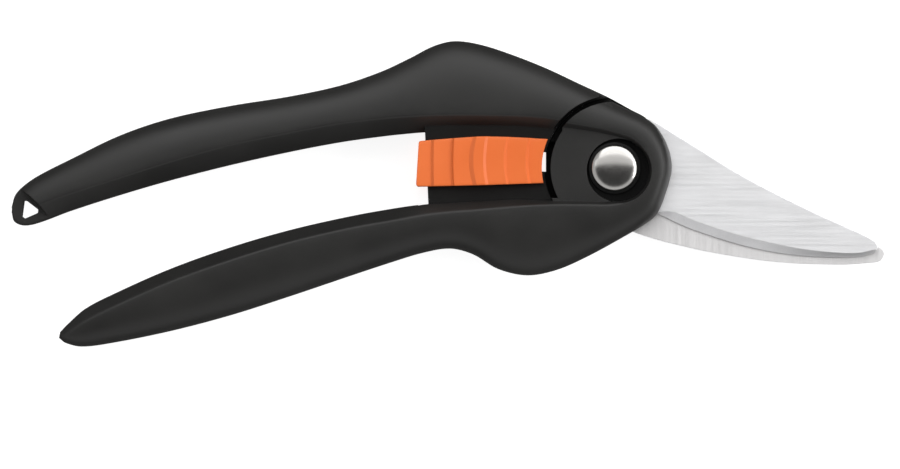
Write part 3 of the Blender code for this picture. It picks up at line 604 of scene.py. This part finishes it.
def upper_handle():
    """The handle with the hub's back and the thin web that the lock slides on."""
    body = handle_body("upper_handle_shell", UPPER_WHOLE_RIBS, UPPER_HUB_RIBS, -1)
    web = [(WEB_LEFT, 13.5), (-44.6, WEB_BOTTOM), (-9.7, WEB_BOTTOM), (-2.0, -12.6)]
    web += arc(12.2, 285, 430, 54) + [(-2.0, 12.8), (-12.0, 13.5)]
    join(body, prism("web", web, WEB_BACK, WEB_FRONT))
    levels = [(ARC_RADIUS, MID - HALF_GAP), (ARC_RADIUS, CHANNEL_FRONT),
              (ARC_FACE_RADIUS, CHANNEL_FRONT), (ARC_FACE_RADIUS, ABOVE)]
    cut(body, stacked("front_clearance", levels, ARC_SEGMENTS))
    blade = grown(rear_blade_outline(), GAP)
    cut(body, prism("blade_pocket", blade, REAR_BLADE_BACK - GAP, MID + HALF_GAP))
    x0, x1, y0, y1 = SLOT
    cut(body, box("slot", (x0, x1), (y0, y1), (BELOW, ABOVE)))
    cut(body, box("latch_slit", SLIT, (WEB_BOTTOM - 1, y0 + 1), (MID - SLIT_HALF, MID + SLIT_HALF)))
    cut(body, disc("bore", BORE_RADIUS, BELOW, ABOVE))
    hang_loop(body)
    return body


def hang_loop(body):
    """Thins the tail on both faces beyond a slanted line, and pierces the three-cornered hole."""
    for side in (1, -1):
        low = [(x, y, MID + side * LOOP_HALF) for x, y in LOOP_FOOT]
        high = [(x, y, MID + side * (MID + 1)) for x, y in LOOP_HEAD]
        cut(body, between("loop_face", [low, high]))
    cut(body, prism("hang_hole", HANG_HOLE, BELOW, ABOVE))


# ---------------------------------------------------------------- blades


def bevel_width(x):
    """The width of the ground bevel, which starts at the heel and narrows towards the tip."""
    start, end = BEVEL_TAPER_X
    share = min(max((x - start) / (end - start), 0.0), 1.0)
    width = BEVEL_WIDTH + (BEVEL_TIP_WIDTH - BEVEL_WIDTH) * share
    heel, full = BEVEL_HEEL_X
    return width * math.sqrt(min(max((x - heel) / (full - heel), 0.0), 1.0))


def ground(edge, share):
    """An edge path moved into the blade by a share of the bevel's width."""
    return shifted(edge, lambda x: bevel_width(x) * share)


def front_blade_outline(share=0.0):
    """The front blade in plan, with a share of its bevel ground away."""
    return (smooth(FRONT_SPINE, 6) + FRONT_TIP + ground(smooth(FRONT_EDGE, 8), share) + FRONT_HEEL
            + smooth(FRONT_TANG, 4) + arc(BLADE_DISC_RADIUS, 226, 84, 60) + [(4.6, 12.7)])


def rear_blade_outline(share=0.0):
    """The rear blade in plan, with a share of its bevel ground away."""
    return (ground(smooth(REAR_EDGE, 8), share) + REAR_TIP + smooth(REAR_SPINE, 6)
            + arc(BLADE_DISC_RADIUS, 262, 160, 48) + smooth(REAR_TANG, 4)
            + arc(BLADE_DISC_RADIUS, 100, -6, 48))


def blade_solid(name, outline_of, contact, side):
    """A blade whose flat face is at the contact height, ground on its other face."""
    rings = [(grown(outline_of(), -BLADE_CORNER / 2), 0.0),
             (outline_of(), BLADE_CORNER / 2),
             (outline_of(), EDGE_LAND),
             (outline_of(1.0), BLADE_THICKNESS - BLADE_CORNER / 2),
             (grown(outline_of(1.0), -BLADE_CORNER), BLADE_THICKNESS)]
    return between(name, [[(x, y, contact + side * rise) for x, y in outline]
                          for outline, rise in rings])


def spring_leg(angle_deg):
    """Where a leg of the opening spring stands, in plan."""
    angle = math.radians(angle_deg)
    return SPRING_LEG_RADIUS * math.cos(angle), SPRING_LEG_RADIUS * math.sin(angle)


def fixed_leg_deg():
    return SPRING_REST_DEG + 360 * SPRING_TURNS


def front_blade():
    """The blade on the lower handle, with the loose leg's slot and the fixed leg's hole."""
    blade = blade_solid("front_blade_steel", front_blade_outline, MID + HALF_GAP, 1)
    cut(blade, disc("bore", BORE_RADIUS, BELOW, ABOVE))
    inner, outer = SPRING_LEG_RADIUS - LEG_HOLE_RADIUS, SPRING_LEG_RADIUS + LEG_HOLE_RADIUS
    start = SPRING_REST_DEG + LEG_SLOT_SPARE_DEG
    end = SPRING_REST_DEG - OPENING_DEG - LEG_SLOT_SPARE_DEG
    leg_slot = arc(inner, start, end, 24) + arc(outer, end, start, 24)
    cut(blade, prism("leg_slot", leg_slot, BELOW, ABOVE))
    cut(blade, disc("leg_hole", LEG_HOLE_RADIUS, BELOW, ABOVE, 24, spring_leg(fixed_leg_deg())))
    return blade


def rear_blade():
    """The blade on the upper handle, with the loose leg's hole."""
    blade = blade_solid("rear_blade_steel", rear_blade_outline, MID - HALF_GAP, -1)
    cut(blade, disc("bore", BORE_RADIUS, BELOW, ABOVE))
    cut(blade, disc("leg_hole", LEG_HOLE_RADIUS, BELOW, ABOVE, 24, spring_leg(SPRING_REST_DEG)))
    return blade


# ---------------------------------------------------------------- pivot


def rivet():
    """A shank and a domed head with a rolled rim."""
    base = WEB_FRONT + GAP + WASHER_THICKNESS + GAP
    levels = [(SHANK_RADIUS - SHANK_CHAMFER, 0.0), (SHANK_RADIUS, SHANK_CHAMFER),
              (SHANK_RADIUS, base), (HEAD_RADIUS - HEAD_ROLL, base),
              (HEAD_RADIUS - HEAD_ROLL_HALFWAY, base + HEAD_ROLL_HALFWAY),
              (HEAD_RADIUS, base + HEAD_ROLL)]
    for tilt_deg in range(0, 88, 4):
        tilt = math.radians(tilt_deg)
        levels.append((HEAD_RADIUS * math.cos(tilt), base + HEAD_RIM + HEAD_DOME * math.sin(tilt)))
    return stacked("pivot_rivet_head", levels, 96)


def washer(name, inner, outer, low, high, corner):
    """A ring with rounded outer corners and a chamfered bore."""
    profile = [(inner + corner / 2, low)]
    for centre_z, start_deg in ((low + corner, -90), (high - corner, 0)):
        for k in range(FILLET_STEPS + 1):
            angle = math.radians(start_deg + 90 * k / FILLET_STEPS)
            profile.append((outer - corner + corner * math.cos(angle),
                            centre_z + corner * math.sin(angle)))
    profile += [(inner + corner / 2, high), (inner, high - corner / 2), (inner, low + corner / 2)]
    return turned(name, profile)


def spring_coil_path():
    """The loose leg, up from the rear blade, and the coil above it."""
    low = FRONT_BLADE_TOP + GAP + SPRING_WIRE
    x, y = spring_leg(SPRING_REST_DEG)
    path = [(x, y, REAR_BLADE_BACK + SPRING_BEND), (x, y, low - SPRING_BEND)]
    steps = 96
    for i in range(steps + 1):
        angle = math.radians(SPRING_REST_DEG + 360 * SPRING_TURNS * i / steps)
        z = low + SPRING_PITCH * SPRING_TURNS * i / steps
        path.append((SPRING_RADIUS * math.cos(angle), SPRING_RADIUS * math.sin(angle), z))
    return path


def fixed_leg_path():
    """From the coil's end down into the front blade."""
    end = spring_coil_path()[-1]
    x, y = spring_leg(fixed_leg_deg())
    return [end, ((end[0] + x) / 2, (end[1] + y) / 2, end[2]), (x, y, end[2] - SPRING_BEND),
            (x, y, MID + HALF_GAP + SPRING_BEND)]


def wire(name, path):
    """A round wire along a path, as a mesh."""
    curve = bpy.data.curves.new(name, "CURVE")
    curve.dimensions = "3D"
    curve.bevel_depth = SPRING_WIRE * MM
    curve.bevel_resolution = 4
    curve.use_fill_caps = True
    spline = curve.splines.new("POLY")
    spline.points.add(len(path) - 1)
    for point, place in zip(spline.points, path):
        point.co = (*[c * MM for c in place], 1.0)
    bent = bpy.data.objects.new(name + "_curve", curve)
    bpy.context.scene.collection.objects.link(bent)
    bpy.context.view_layer.update()
    graph = bpy.context.evaluated_depsgraph_get()
    mesh = bpy.data.meshes.new_from_object(bent.evaluated_get(graph))
    bpy.data.objects.remove(bent)
    obj = bpy.data.objects.new(name, mesh)
    bpy.context.scene.collection.objects.link(obj)
    return obj


# ---------------------------------------------------------------- lock


def pad_steps():
    """Where each step starts and ends, and the heights of the treads before and after it."""
    return [(start, start + reach, low, high) for (_, low), (start, high), reach
            in zip(PAD_TREADS, PAD_TREADS[1:], PAD_RISERS)]


def pad_height(x):
    """How high the pad stands over the web; each tread dips a little towards its rising step."""
    height = PAD_TREADS[0][1]
    before = PAD_TREADS[0][0]
    for start, end, low, high in pad_steps():
        height += (high - low) * min(max((x - start) / (end - start), 0.0), 1.0)
        if high > low and before <= x <= end:
            dip = (x - before) / (start - before) if x < start else (end - x) / (end - start)
            height -= PAD_SCALLOP * dip
        before = end
    ends = [step[0] for step in pad_steps()[1:]] + [PAD_RIGHT]
    for (start, end, low, high), after in zip(pad_steps(), ends):
        if high < low and start <= x <= after:
            dip = (x - start) / (end - start) if x < end else (after - x) / (after - end)
            height -= PAD_SCALLOP * dip
    return height


def pad_place(x, across):
    """Where a point of the pad lies along X, with the left end leaning and the steps bowed."""
    last = PAD_TREADS[-1][0]
    bow = 1 - (2 * across - 1) ** 2
    if x <= last:
        lean = PAD_LEAN * across * max(1 - (x - PAD_TREADS[0][0]) / PAD_LEAN_REACH, 0.0)
        return x - row_at(PAD_BOWS, x) * bow + lean
    start = last - PAD_BOWS[-1][1] * bow
    return start + (x - last) * (PAD_RIGHT - start) / (PAD_RIGHT - last)


def pad_section(x, face, side):
    """A closed ring across the pad: up one side, over with rounded corners, down the other."""
    height = pad_height(x)
    low, high = row_at(PAD_BOTTOM, x), row_at(PAD_TOP, x)
    from_end = x - PAD_TREADS[0][0]
    if from_end < PAD_CORNER:
        inset = PAD_CORNER - math.sqrt(PAD_CORNER ** 2 - (PAD_CORNER - from_end) ** 2)
        low, high = low + inset, high - inset
    climb = [(low, 0.0), (low, (height - PAD_FILLET) / 2), (low, height - PAD_FILLET)]
    for k in range(1, FILLET_STEPS + 1):
        angle = math.radians(90 * k / FILLET_STEPS)
        climb.append((low + PAD_FILLET * (1 - math.cos(angle)),
                      height - PAD_FILLET * (1 - math.sin(angle))))
    top = []
    for k in range(1, PAD_ROW_STEPS):
        share = k / PAD_ROW_STEPS
        top.append((low + PAD_FILLET + (high - low - 2 * PAD_FILLET) * share, height))
    rows = climb + top + [(low + high - y, z) for y, z in reversed(climb)]
    return [(pad_place(x, (y - low) / (high - low)), y, face + side * z) for y, z in rows]


def pad(name, side):
    """One half of the slider: a stepped thumb pad, hollowed to an arc at its hub end."""
    face = MID + side * (WEB_THICKNESS / 2 + GAP)
    first = PAD_TREADS[0][0]
    stations = [first + PAD_CORNER * share for share in PAD_CORNER_SHARES]
    for start, end, _, _ in pad_steps():
        stations += [start - PAD_STEP_EASE, start, (start + end) / 2, end, end + PAD_STEP_EASE]
    stations.append(PAD_RIGHT)
    rings = [pad_section(x, face, side) for x in stations]
    rings[0] = [(x, y, face + (z - face) * PAD_END_HEIGHT_SHARE) for x, y, z in rings[0]]
    body = between(name, rings)
    low, high = sorted((face - side, MID + side * (MID + 1)))
    cut(body, disc("hub_end", PAD_END_RADIUS, low, high, ARC_SEGMENTS))
    return body


def front_pad():
    """The front half, with the posts that reach through the web's slot into the rear half."""
    body = pad("thumb_pad_front", 1)
    post_height = (PAD_POCKET_FLOOR + GAP, CHANNEL_FRONT + 0.5)
    for span in POST_ROWS:
        join(body, box("post", span, (POST_BOTTOM, POST_TOP), post_height))
    return body


def rear_pad():
    """The rear half, with the pockets that the posts end in."""
    body = pad("thumb_pad_rear", -1)
    rows = (POST_BOTTOM - GAP, POST_TOP + GAP)
    for x0, x1 in POST_ROWS:
        cut(body, box("post_pocket", (x0 - GAP, x1 + GAP), rows, (PAD_POCKET_FLOOR, WEB_BACK)))
    return body


# ---------------------------------------------------------------- materials


class Look:
    """A material's node tree, with short ways to add the nodes that the finishes below use."""

    def __init__(self, name, colour, metallic, roughness):
        self.material = bpy.data.materials.new(name)
        self.material.use_nodes = True
        self.tree = self.material.node_tree
        self.shader = self.tree.nodes["Principled BSDF"]
        self.shader.inputs["Base Color"].default_value = (*colour, 1.0)
        self.shader.inputs["Metallic"].default_value = metallic
        self.shader.inputs["Roughness"].default_value = roughness
        self.place = self.tree.nodes.new("ShaderNodeTexCoord").outputs["Object"]
        self.normal = None

    def node(self, kind, inputs, **settings):
        """A node whose inputs are linked if they are sockets, and set if they are values."""
        made = self.tree.nodes.new(kind)
        for key, value in settings.items():
            setattr(made, key, value)
        for key, value in inputs.items():
            if isinstance(value, bpy.types.NodeSocket):
                self.tree.links.new(value, made.inputs[key])
            else:
                made.inputs[key].default_value = value
        return made

    def noise(self, per_mm, detail=2.0, stretch=(1.0, 1.0, 1.0)):
        """Noise with so many grains to a millimetre, scaled along each axis."""
        scale = [s * per_mm / MM for s in stretch]
        spread = self.node("ShaderNodeMapping", {"Vector": self.place, "Scale": scale})
        grain = self.node("ShaderNodeTexNoise",
                          {"Vector": spread.outputs["Vector"], "Scale": 1.0, "Detail": detail})
        return grain.outputs["Fac"]

    def blend(self, factor, dark, light, low=0.3, high=0.7):
        """A colour ramp between two colours, driven by a noise."""
        ramp = self.tree.nodes.new("ShaderNodeValToRGB")
        ramp.color_ramp.elements[0].position = low
        ramp.color_ramp.elements[0].color = (*dark, 1.0)
        ramp.color_ramp.elements[1].position = high
        ramp.color_ramp.elements[1].color = (*light, 1.0)
        self.tree.links.new(factor, ramp.inputs["Fac"])
        return ramp.outputs["Color"]

    def spread(self, factor, low, high):
        """A number between low and high, driven by a noise."""
        mapped = self.node("ShaderNodeMapRange",
                           {"Value": factor, "From Min": 0.25, "From Max": 0.75, "To Min": low,
                            "To Max": high})
        return mapped.outputs["Result"]

    def soften(self, radius_mm):
        """Rounds the shading across sharp edges."""
        edge = self.node("ShaderNodeBevel", {"Radius": radius_mm * MM}, samples=4)
        self.normal = edge.outputs["Normal"]

    def bump(self, height, depth_mm, strength=1.0):
        inputs = {"Height": height, "Distance": depth_mm * MM, "Strength": strength}
        if self.normal:
            inputs["Normal"] = self.normal
        self.normal = self.node("ShaderNodeBump", inputs).outputs["Normal"]

    def finish(self, **sockets):
        """Links what was made to the shader, and returns the material."""
        for name, value in sockets.items():
            self.tree.links.new(value, self.shader.inputs[name.replace("_", " ")])
        if self.normal:
            self.tree.links.new(self.normal, self.shader.inputs["Normal"])
        return self.material


def moulded_plastic(name, dark, light, roughness, grain_mm, depth_mm, specular=0.35):
    """Spark-eroded moulding texture: fine grain over slow changes of tone and gloss."""
    look = Look(name, light, 0.0, roughness)
    look.shader.inputs["IOR"].default_value = 1.5
    look.shader.inputs["Specular IOR Level"].default_value = specular
    slow = look.noise(0.06, 3.0)
    fine = look.noise(1 / grain_mm, 2.0)
    look.soften(0.22)
    look.bump(fine, depth_mm)
    tone = look.blend(slow, dark, light)
    gloss = look.spread(slow, roughness - 0.04, roughness + 0.05)
    return look.finish(Base_Color=tone, Roughness=gloss)


def brushed_steel(name, dark, light, roughness, along, depth_mm=0.0028):
    """Fine ground lines along one axis, with a few deeper ones and soft blotches."""
    look = Look(name, light, 1.0, roughness)
    look.soften(0.12)
    stretch = {"x": (0.03, 1.0, 1.0), "y": (1.0, 0.03, 1.0)}[along]
    lines = look.noise(7.0, 3.0, stretch)
    wide = look.noise(1.6, 2.0, stretch)
    blotch = look.noise(0.12, 3.0)
    look.bump(lines, depth_mm)
    look.bump(wide, depth_mm, 0.08)
    mixed = look.node("ShaderNodeMath", {0: lines, 1: blotch}, operation="MULTIPLY")
    tone = look.blend(mixed.outputs["Value"], dark, light, 0.1, 0.4)
    gloss = look.spread(wide, roughness - 0.05, roughness + 0.08)
    return look.finish(Base_Color=tone, Roughness=gloss)


def polished_steel():
    """Warm polished steel with slight waves and scuffs."""
    look = Look("polished_rivet", (0.43, 0.42, 0.405), 1.0, 0.2)
    scuffs = look.noise(1.4, 4.0)
    look.bump(look.noise(0.35, 1.0), 0.012, 0.5)
    gloss = look.spread(scuffs, 0.17, 0.23)
    return look.finish(Roughness=gloss)


def oxide_steel():
    """Nearly black oxide, lightly speckled."""
    look = Look("black_oxide", (0.01, 0.01, 0.01), 0.0, 0.5)
    look.shader.inputs["Specular IOR Level"].default_value = 0.2
    speck = look.noise(3.0, 3.0)
    look.soften(0.08)
    look.bump(speck, 0.004)
    tone = look.blend(speck, (0.004, 0.004, 0.004), (0.009, 0.0088, 0.0085))
    return look.finish(Base_Color=tone)


def drawn_steel():
    """Plain drawn wire, speckled in tone and gloss."""
    look = Look("drawn_spring_steel", (0.5, 0.5, 0.51), 1.0, 0.3)
    speck = look.noise(4.0, 2.0)
    look.bump(speck, 0.003)
    tone = look.blend(speck, (0.38, 0.38, 0.39), (0.56, 0.56, 0.57))
    gloss = look.spread(speck, 0.24, 0.38)
    return look.finish(Base_Color=tone, Roughness=gloss)


black = moulded_plastic("black_handle_plastic", (0.011, 0.0107, 0.0102), (0.015, 0.0146, 0.0138),
                        0.46, 0.22, 0.012)
# Painted shade: a darker, less glossy copy of the handle plastic for the web, which lies in the
# handles' shade
web_shade_black = moulded_plastic("web_painted_shade_plastic", (0.005, 0.0049, 0.0047),
                               (0.007, 0.0068, 0.0065), 0.5, 0.2, 0.006, specular=0.15)
orange = moulded_plastic("orange_lock_plastic", (0.67, 0.134, 0.026), (0.71, 0.15, 0.033),
                         0.42, 0.2, 0.006)
acetal = moulded_plastic("natural_acetal", (0.66, 0.65, 0.6), (0.72, 0.71, 0.67), 0.35, 0.3, 0.004)
face_steel = brushed_steel("front_blade_face", (0.79, 0.79, 0.8), (0.85, 0.85, 0.86), 0.5, "x")
back_steel = brushed_steel("rear_blade_face", (0.76, 0.75, 0.75), (0.82, 0.81, 0.81), 0.5, "y")
ground_steel = brushed_steel("ground_bevel", (0.7, 0.7, 0.71), (0.8, 0.8, 0.81), 0.48, "y", 0.006)
# Painted shade: a near-black, nearly matt plastic laid where shade falls, in the rivet's recess and
# in the hub's groove
painted_shade = moulded_plastic("pivot_painted_shade", (0.005, 0.005, 0.005), (0.007, 0.007, 0.0068),
                         0.6, 0.3, 0.01, specular=0.06)
polished = polished_steel()
oxide = oxide_steel()
spring_steel = drawn_steel()

# ---------------------------------------------------------------- the object


def paint_faces(shell, look, is_chosen):
    """Gives a look to the faces that are chosen by their middle, in mm, and their normal."""
    if look.name not in shell.data.materials:
        shell.data.materials.append(look)
    index = shell.data.materials.find(look.name)
    for face in shell.data.polygons:
        if is_chosen(face.center / MM, face.normal):
            face.material_index = index


def recess_shade_mask(place, normal):
    """The sloping wall round the rivet, on the lower handle, which gets painted shade."""
    away = (place.xy - Vector(RECESS_CENTRE)).length
    return away < RECESS_RADII[1] and WEB_FRONT - GAP < place.z < HUB_FLOOR - GAP


def lower_groove_shade_mask(place, normal):
    """The hub's wall and floor in the groove, and the lower handle's edge along the arc, which get
    painted shade.
    """
    wall = HUB_RADIUS - GAP / 2 < place.xy.length < ARC_FACE_RADIUS and place.z < HUB_FLOOR - GAP
    on_floor = normal.z > LEVEL_NORMAL and abs(place.z - GROOVE_FLOOR) < GAP / 2
    return place.x < GROOVE_END_X and (wall or on_floor)


def upper_groove_shade_mask(place, normal):
    """The upper handle's wall in the groove, and the level faces at its foot, which get painted
    shade.
    """
    wall = ARC_RADIUS - GAP < place.xy.length < ARC_FACE_RADIUS and MID < place.z
    level = min(abs(place.z - CHANNEL_FRONT), abs(place.z - MID + HALF_GAP)) < GAP / 4
    return place.z < CHANNEL_FRONT + GAP and (wall or (level and normal.z > LEVEL_NORMAL))


def web_shade_mask(place, normal):
    """Both faces of the upper handle's web, which get the darker plastic as painted shade."""
    level = min(abs(place.z - WEB_FRONT), abs(place.z - WEB_BACK)) < GAP / 4
    return level and abs(normal.z) > LEVEL_NORMAL


def dress_blade(blade, body, node, look):
    """Paints a blade's faces, and its ground bevel and sides with their own steel."""
    dress(blade, body, look, BLADE_SHARP_DEG)
    blade.data.materials.append(ground_steel)
    for face in blade.data.polygons:
        if abs(face.normal.z) < BLADE_LEVEL_NORMAL:
            face.material_index = 1
    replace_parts(blade, node)


lower_shell = dress(lower_handle(), "lower_half", black)
# Painted shade on the rivet's recess and in the hub's groove
paint_faces(lower_shell, painted_shade, recess_shade_mask)
paint_faces(lower_shell, painted_shade, lower_groove_shade_mask)
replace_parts(lower_shell, "lower_handle")
upper_shell = dress(upper_handle(), "upper_half", black)
paint_faces(upper_shell, painted_shade, upper_groove_shade_mask)
# Painted shade: the web gets the darker copy of the handle plastic
paint_faces(upper_shell, web_shade_black, web_shade_mask)
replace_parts(upper_shell, "upper_handle")

dress_blade(front_blade(), "lower_half", "front_blade", face_steel)
dress_blade(rear_blade(), "upper_half", "rear_blade", back_steel)

head = dress(rivet(), "lower_half", polished)
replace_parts(head, "pivot_rivet")
bore = SHANK_RADIUS + GAP
front_face, back_face = WEB_FRONT + GAP, WEB_BACK - GAP
front_ring = washer("front_washer_ring", bore, WASHER_RADIUS, front_face,
                    front_face + WASHER_THICKNESS, WASHER_CORNER)
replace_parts(dress(front_ring, "lower_half", oxide), "front_washer")
rear_ring = washer("rear_washer_ring", bore, WASHER_RADIUS, back_face - WASHER_THICKNESS,
                   back_face, WASHER_CORNER)
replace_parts(dress(rear_ring, "lower_half", oxide), "rear_washer")
collar = washer("pivot_collar_ring", bore, HEAD_RADIUS, 0.0, COLLAR_HEIGHT, COLLAR_CORNER)
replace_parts(dress(collar, "lower_half", polished), "pivot_collar")
sleeve = washer("pivot_bushing_sleeve", bore, BUSHING_RADIUS, WEB_BACK, WEB_FRONT,
                BUSHING_CORNER)
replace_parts(dress(sleeve, "lower_half", acetal), "pivot_bushing")

coil_path = spring_coil_path()
coil = dress(wire("opening_spring_coil", coil_path), None, spring_steel)
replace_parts(coil, "opening_spring")
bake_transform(coil)
dress(wire("opening_spring_fixed_leg", fixed_leg_path()), "lower_half",
      spring_steel)

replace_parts(dress(front_pad(), "lock", orange, PAD_SHARP_DEG),
            "lock_slider_front")
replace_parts(dress(rear_pad(), "lock", orange, PAD_SHARP_DEG),
            "lock_slider_rear")

# The small steel parts of the lock keep their CAD shapes
for node in ("lock_latch", "lock_friction_spring", "latch_catch_pin"):
    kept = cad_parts[node]
    kept.data.materials.clear()
    kept.data.materials.append(spring_steel)

# ---------------------------------------------------------------- floor, light and camera

# In metres: what the picture's width takes in at the object, and where the camera looks
FRAME_WIDTH = 0.2168
CAMERA_DISTANCE = 2.0
VIEW_CENTRE = (-0.03955, -0.01599, MID * MM)
# The studio's walls and ceiling: the upward part of a direction, and the tone seen there
SKY_TONES = ((0.0, 0.1), (0.03, 0.75), (0.7, 0.75), (0.8, 0.06))
# How bright the walls are beyond the lower handle, and beyond the upper one
SKY_SIDES = (1.25, 0.75)

FLOOR_SIZE = 8.0


def pale_floor():
    """A floor that glows evenly, so that it stays pale, and that doesn't show in reflections."""
    look = bpy.data.materials.new("pale_floor")
    look.use_nodes = True
    shader = look.node_tree.nodes["Principled BSDF"]
    shader.inputs["Base Color"].default_value = (0.35, 0.35, 0.35, 1.0)
    shader.inputs["Roughness"].default_value = 0.9
    shader.inputs["Specular IOR Level"].default_value = 0.1
    shader.inputs["Emission Color"].default_value = (1.0, 1.0, 1.0, 1.0)
    shader.inputs["Emission Strength"].default_value = 0.88
    bpy.ops.mesh.primitive_plane_add(size=FLOOR_SIZE, location=(0.0, 0.0, 0.0))
    floor = bpy.context.object
    floor.name = "floor"
    floor.data.materials.append(look)
    floor.visible_glossy = False


def studio():
    """Walls and a ceiling that the steel mirrors, in tones by height, graded from side to side."""
    world = bpy.data.worlds.new("studio")
    world.use_nodes = True
    nodes, links = world.node_tree.nodes, world.node_tree.links
    direction = nodes.new("ShaderNodeTexCoord")
    parts = nodes.new("ShaderNodeSeparateXYZ")
    links.new(direction.outputs["Generated"], parts.inputs["Vector"])
    sky = nodes.new("ShaderNodeValToRGB")
    for height, _ in SKY_TONES[1:-1]:
        sky.color_ramp.elements.new(height)
    for stop, (height, tone) in zip(sky.color_ramp.elements, SKY_TONES):
        stop.position = height
        stop.color = (tone, tone, tone, 1.0)
    links.new(parts.outputs["Z"], sky.inputs["Fac"])
    links.new(sky.outputs["Color"], nodes["Background"].inputs["Color"])
    sides = nodes.new("ShaderNodeMapRange")
    sides.inputs["From Min"].default_value = -1.0
    sides.inputs["To Min"].default_value, sides.inputs["To Max"].default_value = SKY_SIDES
    links.new(parts.outputs["Y"], sides.inputs["Value"])
    links.new(sides.outputs["Result"], nodes["Background"].inputs["Strength"])
    bpy.context.scene.world = world


def softbox(name, location, size, aim, radiance):
    """A rectangular light that faces a point, set by how bright it looks."""
    light = bpy.data.lights.new(name, "AREA")
    light.shape = "RECTANGLE"
    light.size, light.size_y = size
    light.energy = radiance * math.pi * size[0] * size[1]
    lamp = bpy.data.objects.new(name, light)
    lamp.location = location
    lamp.rotation_euler = (Vector(aim) - Vector(location)).to_track_quat("-Z", "Y").to_euler()
    lamp.visible_camera = False
    bpy.context.scene.collection.objects.link(lamp)


def top_camera():
    """A long lens straight above, which sees the frame's width at the object."""
    data = bpy.data.cameras.new("camera")
    data.sensor_width = 36.0
    data.lens = data.sensor_width * CAMERA_DISTANCE / FRAME_WIDTH
    data.clip_end = 20.0
    camera = bpy.data.objects.new("camera", data)
    camera.location = (VIEW_CENTRE[0], VIEW_CENTRE[1], VIEW_CENTRE[2] + CAMERA_DISTANCE)
    bpy.context.scene.collection.objects.link(camera)
    bpy.context.scene.camera = camera


pale_floor()
studio()
softbox("main_softbox", (0.3, 0.72, 0.74), (1.9, 0.8), (0.3, 0.0, 0.0), 2.2)
softbox("upper_softbox", (0.0, 0.3, 1.1), (2.6, 0.4), (0.0, 0.0, 0.0), 1.1)
softbox("side_strip", (0.8, 0.0, 0.55), (0.7, 0.25), (0.0, 0.0, 0.0), 7.0)
top_camera()
bpy.context.scene.view_settings.view_transform = "Standard"
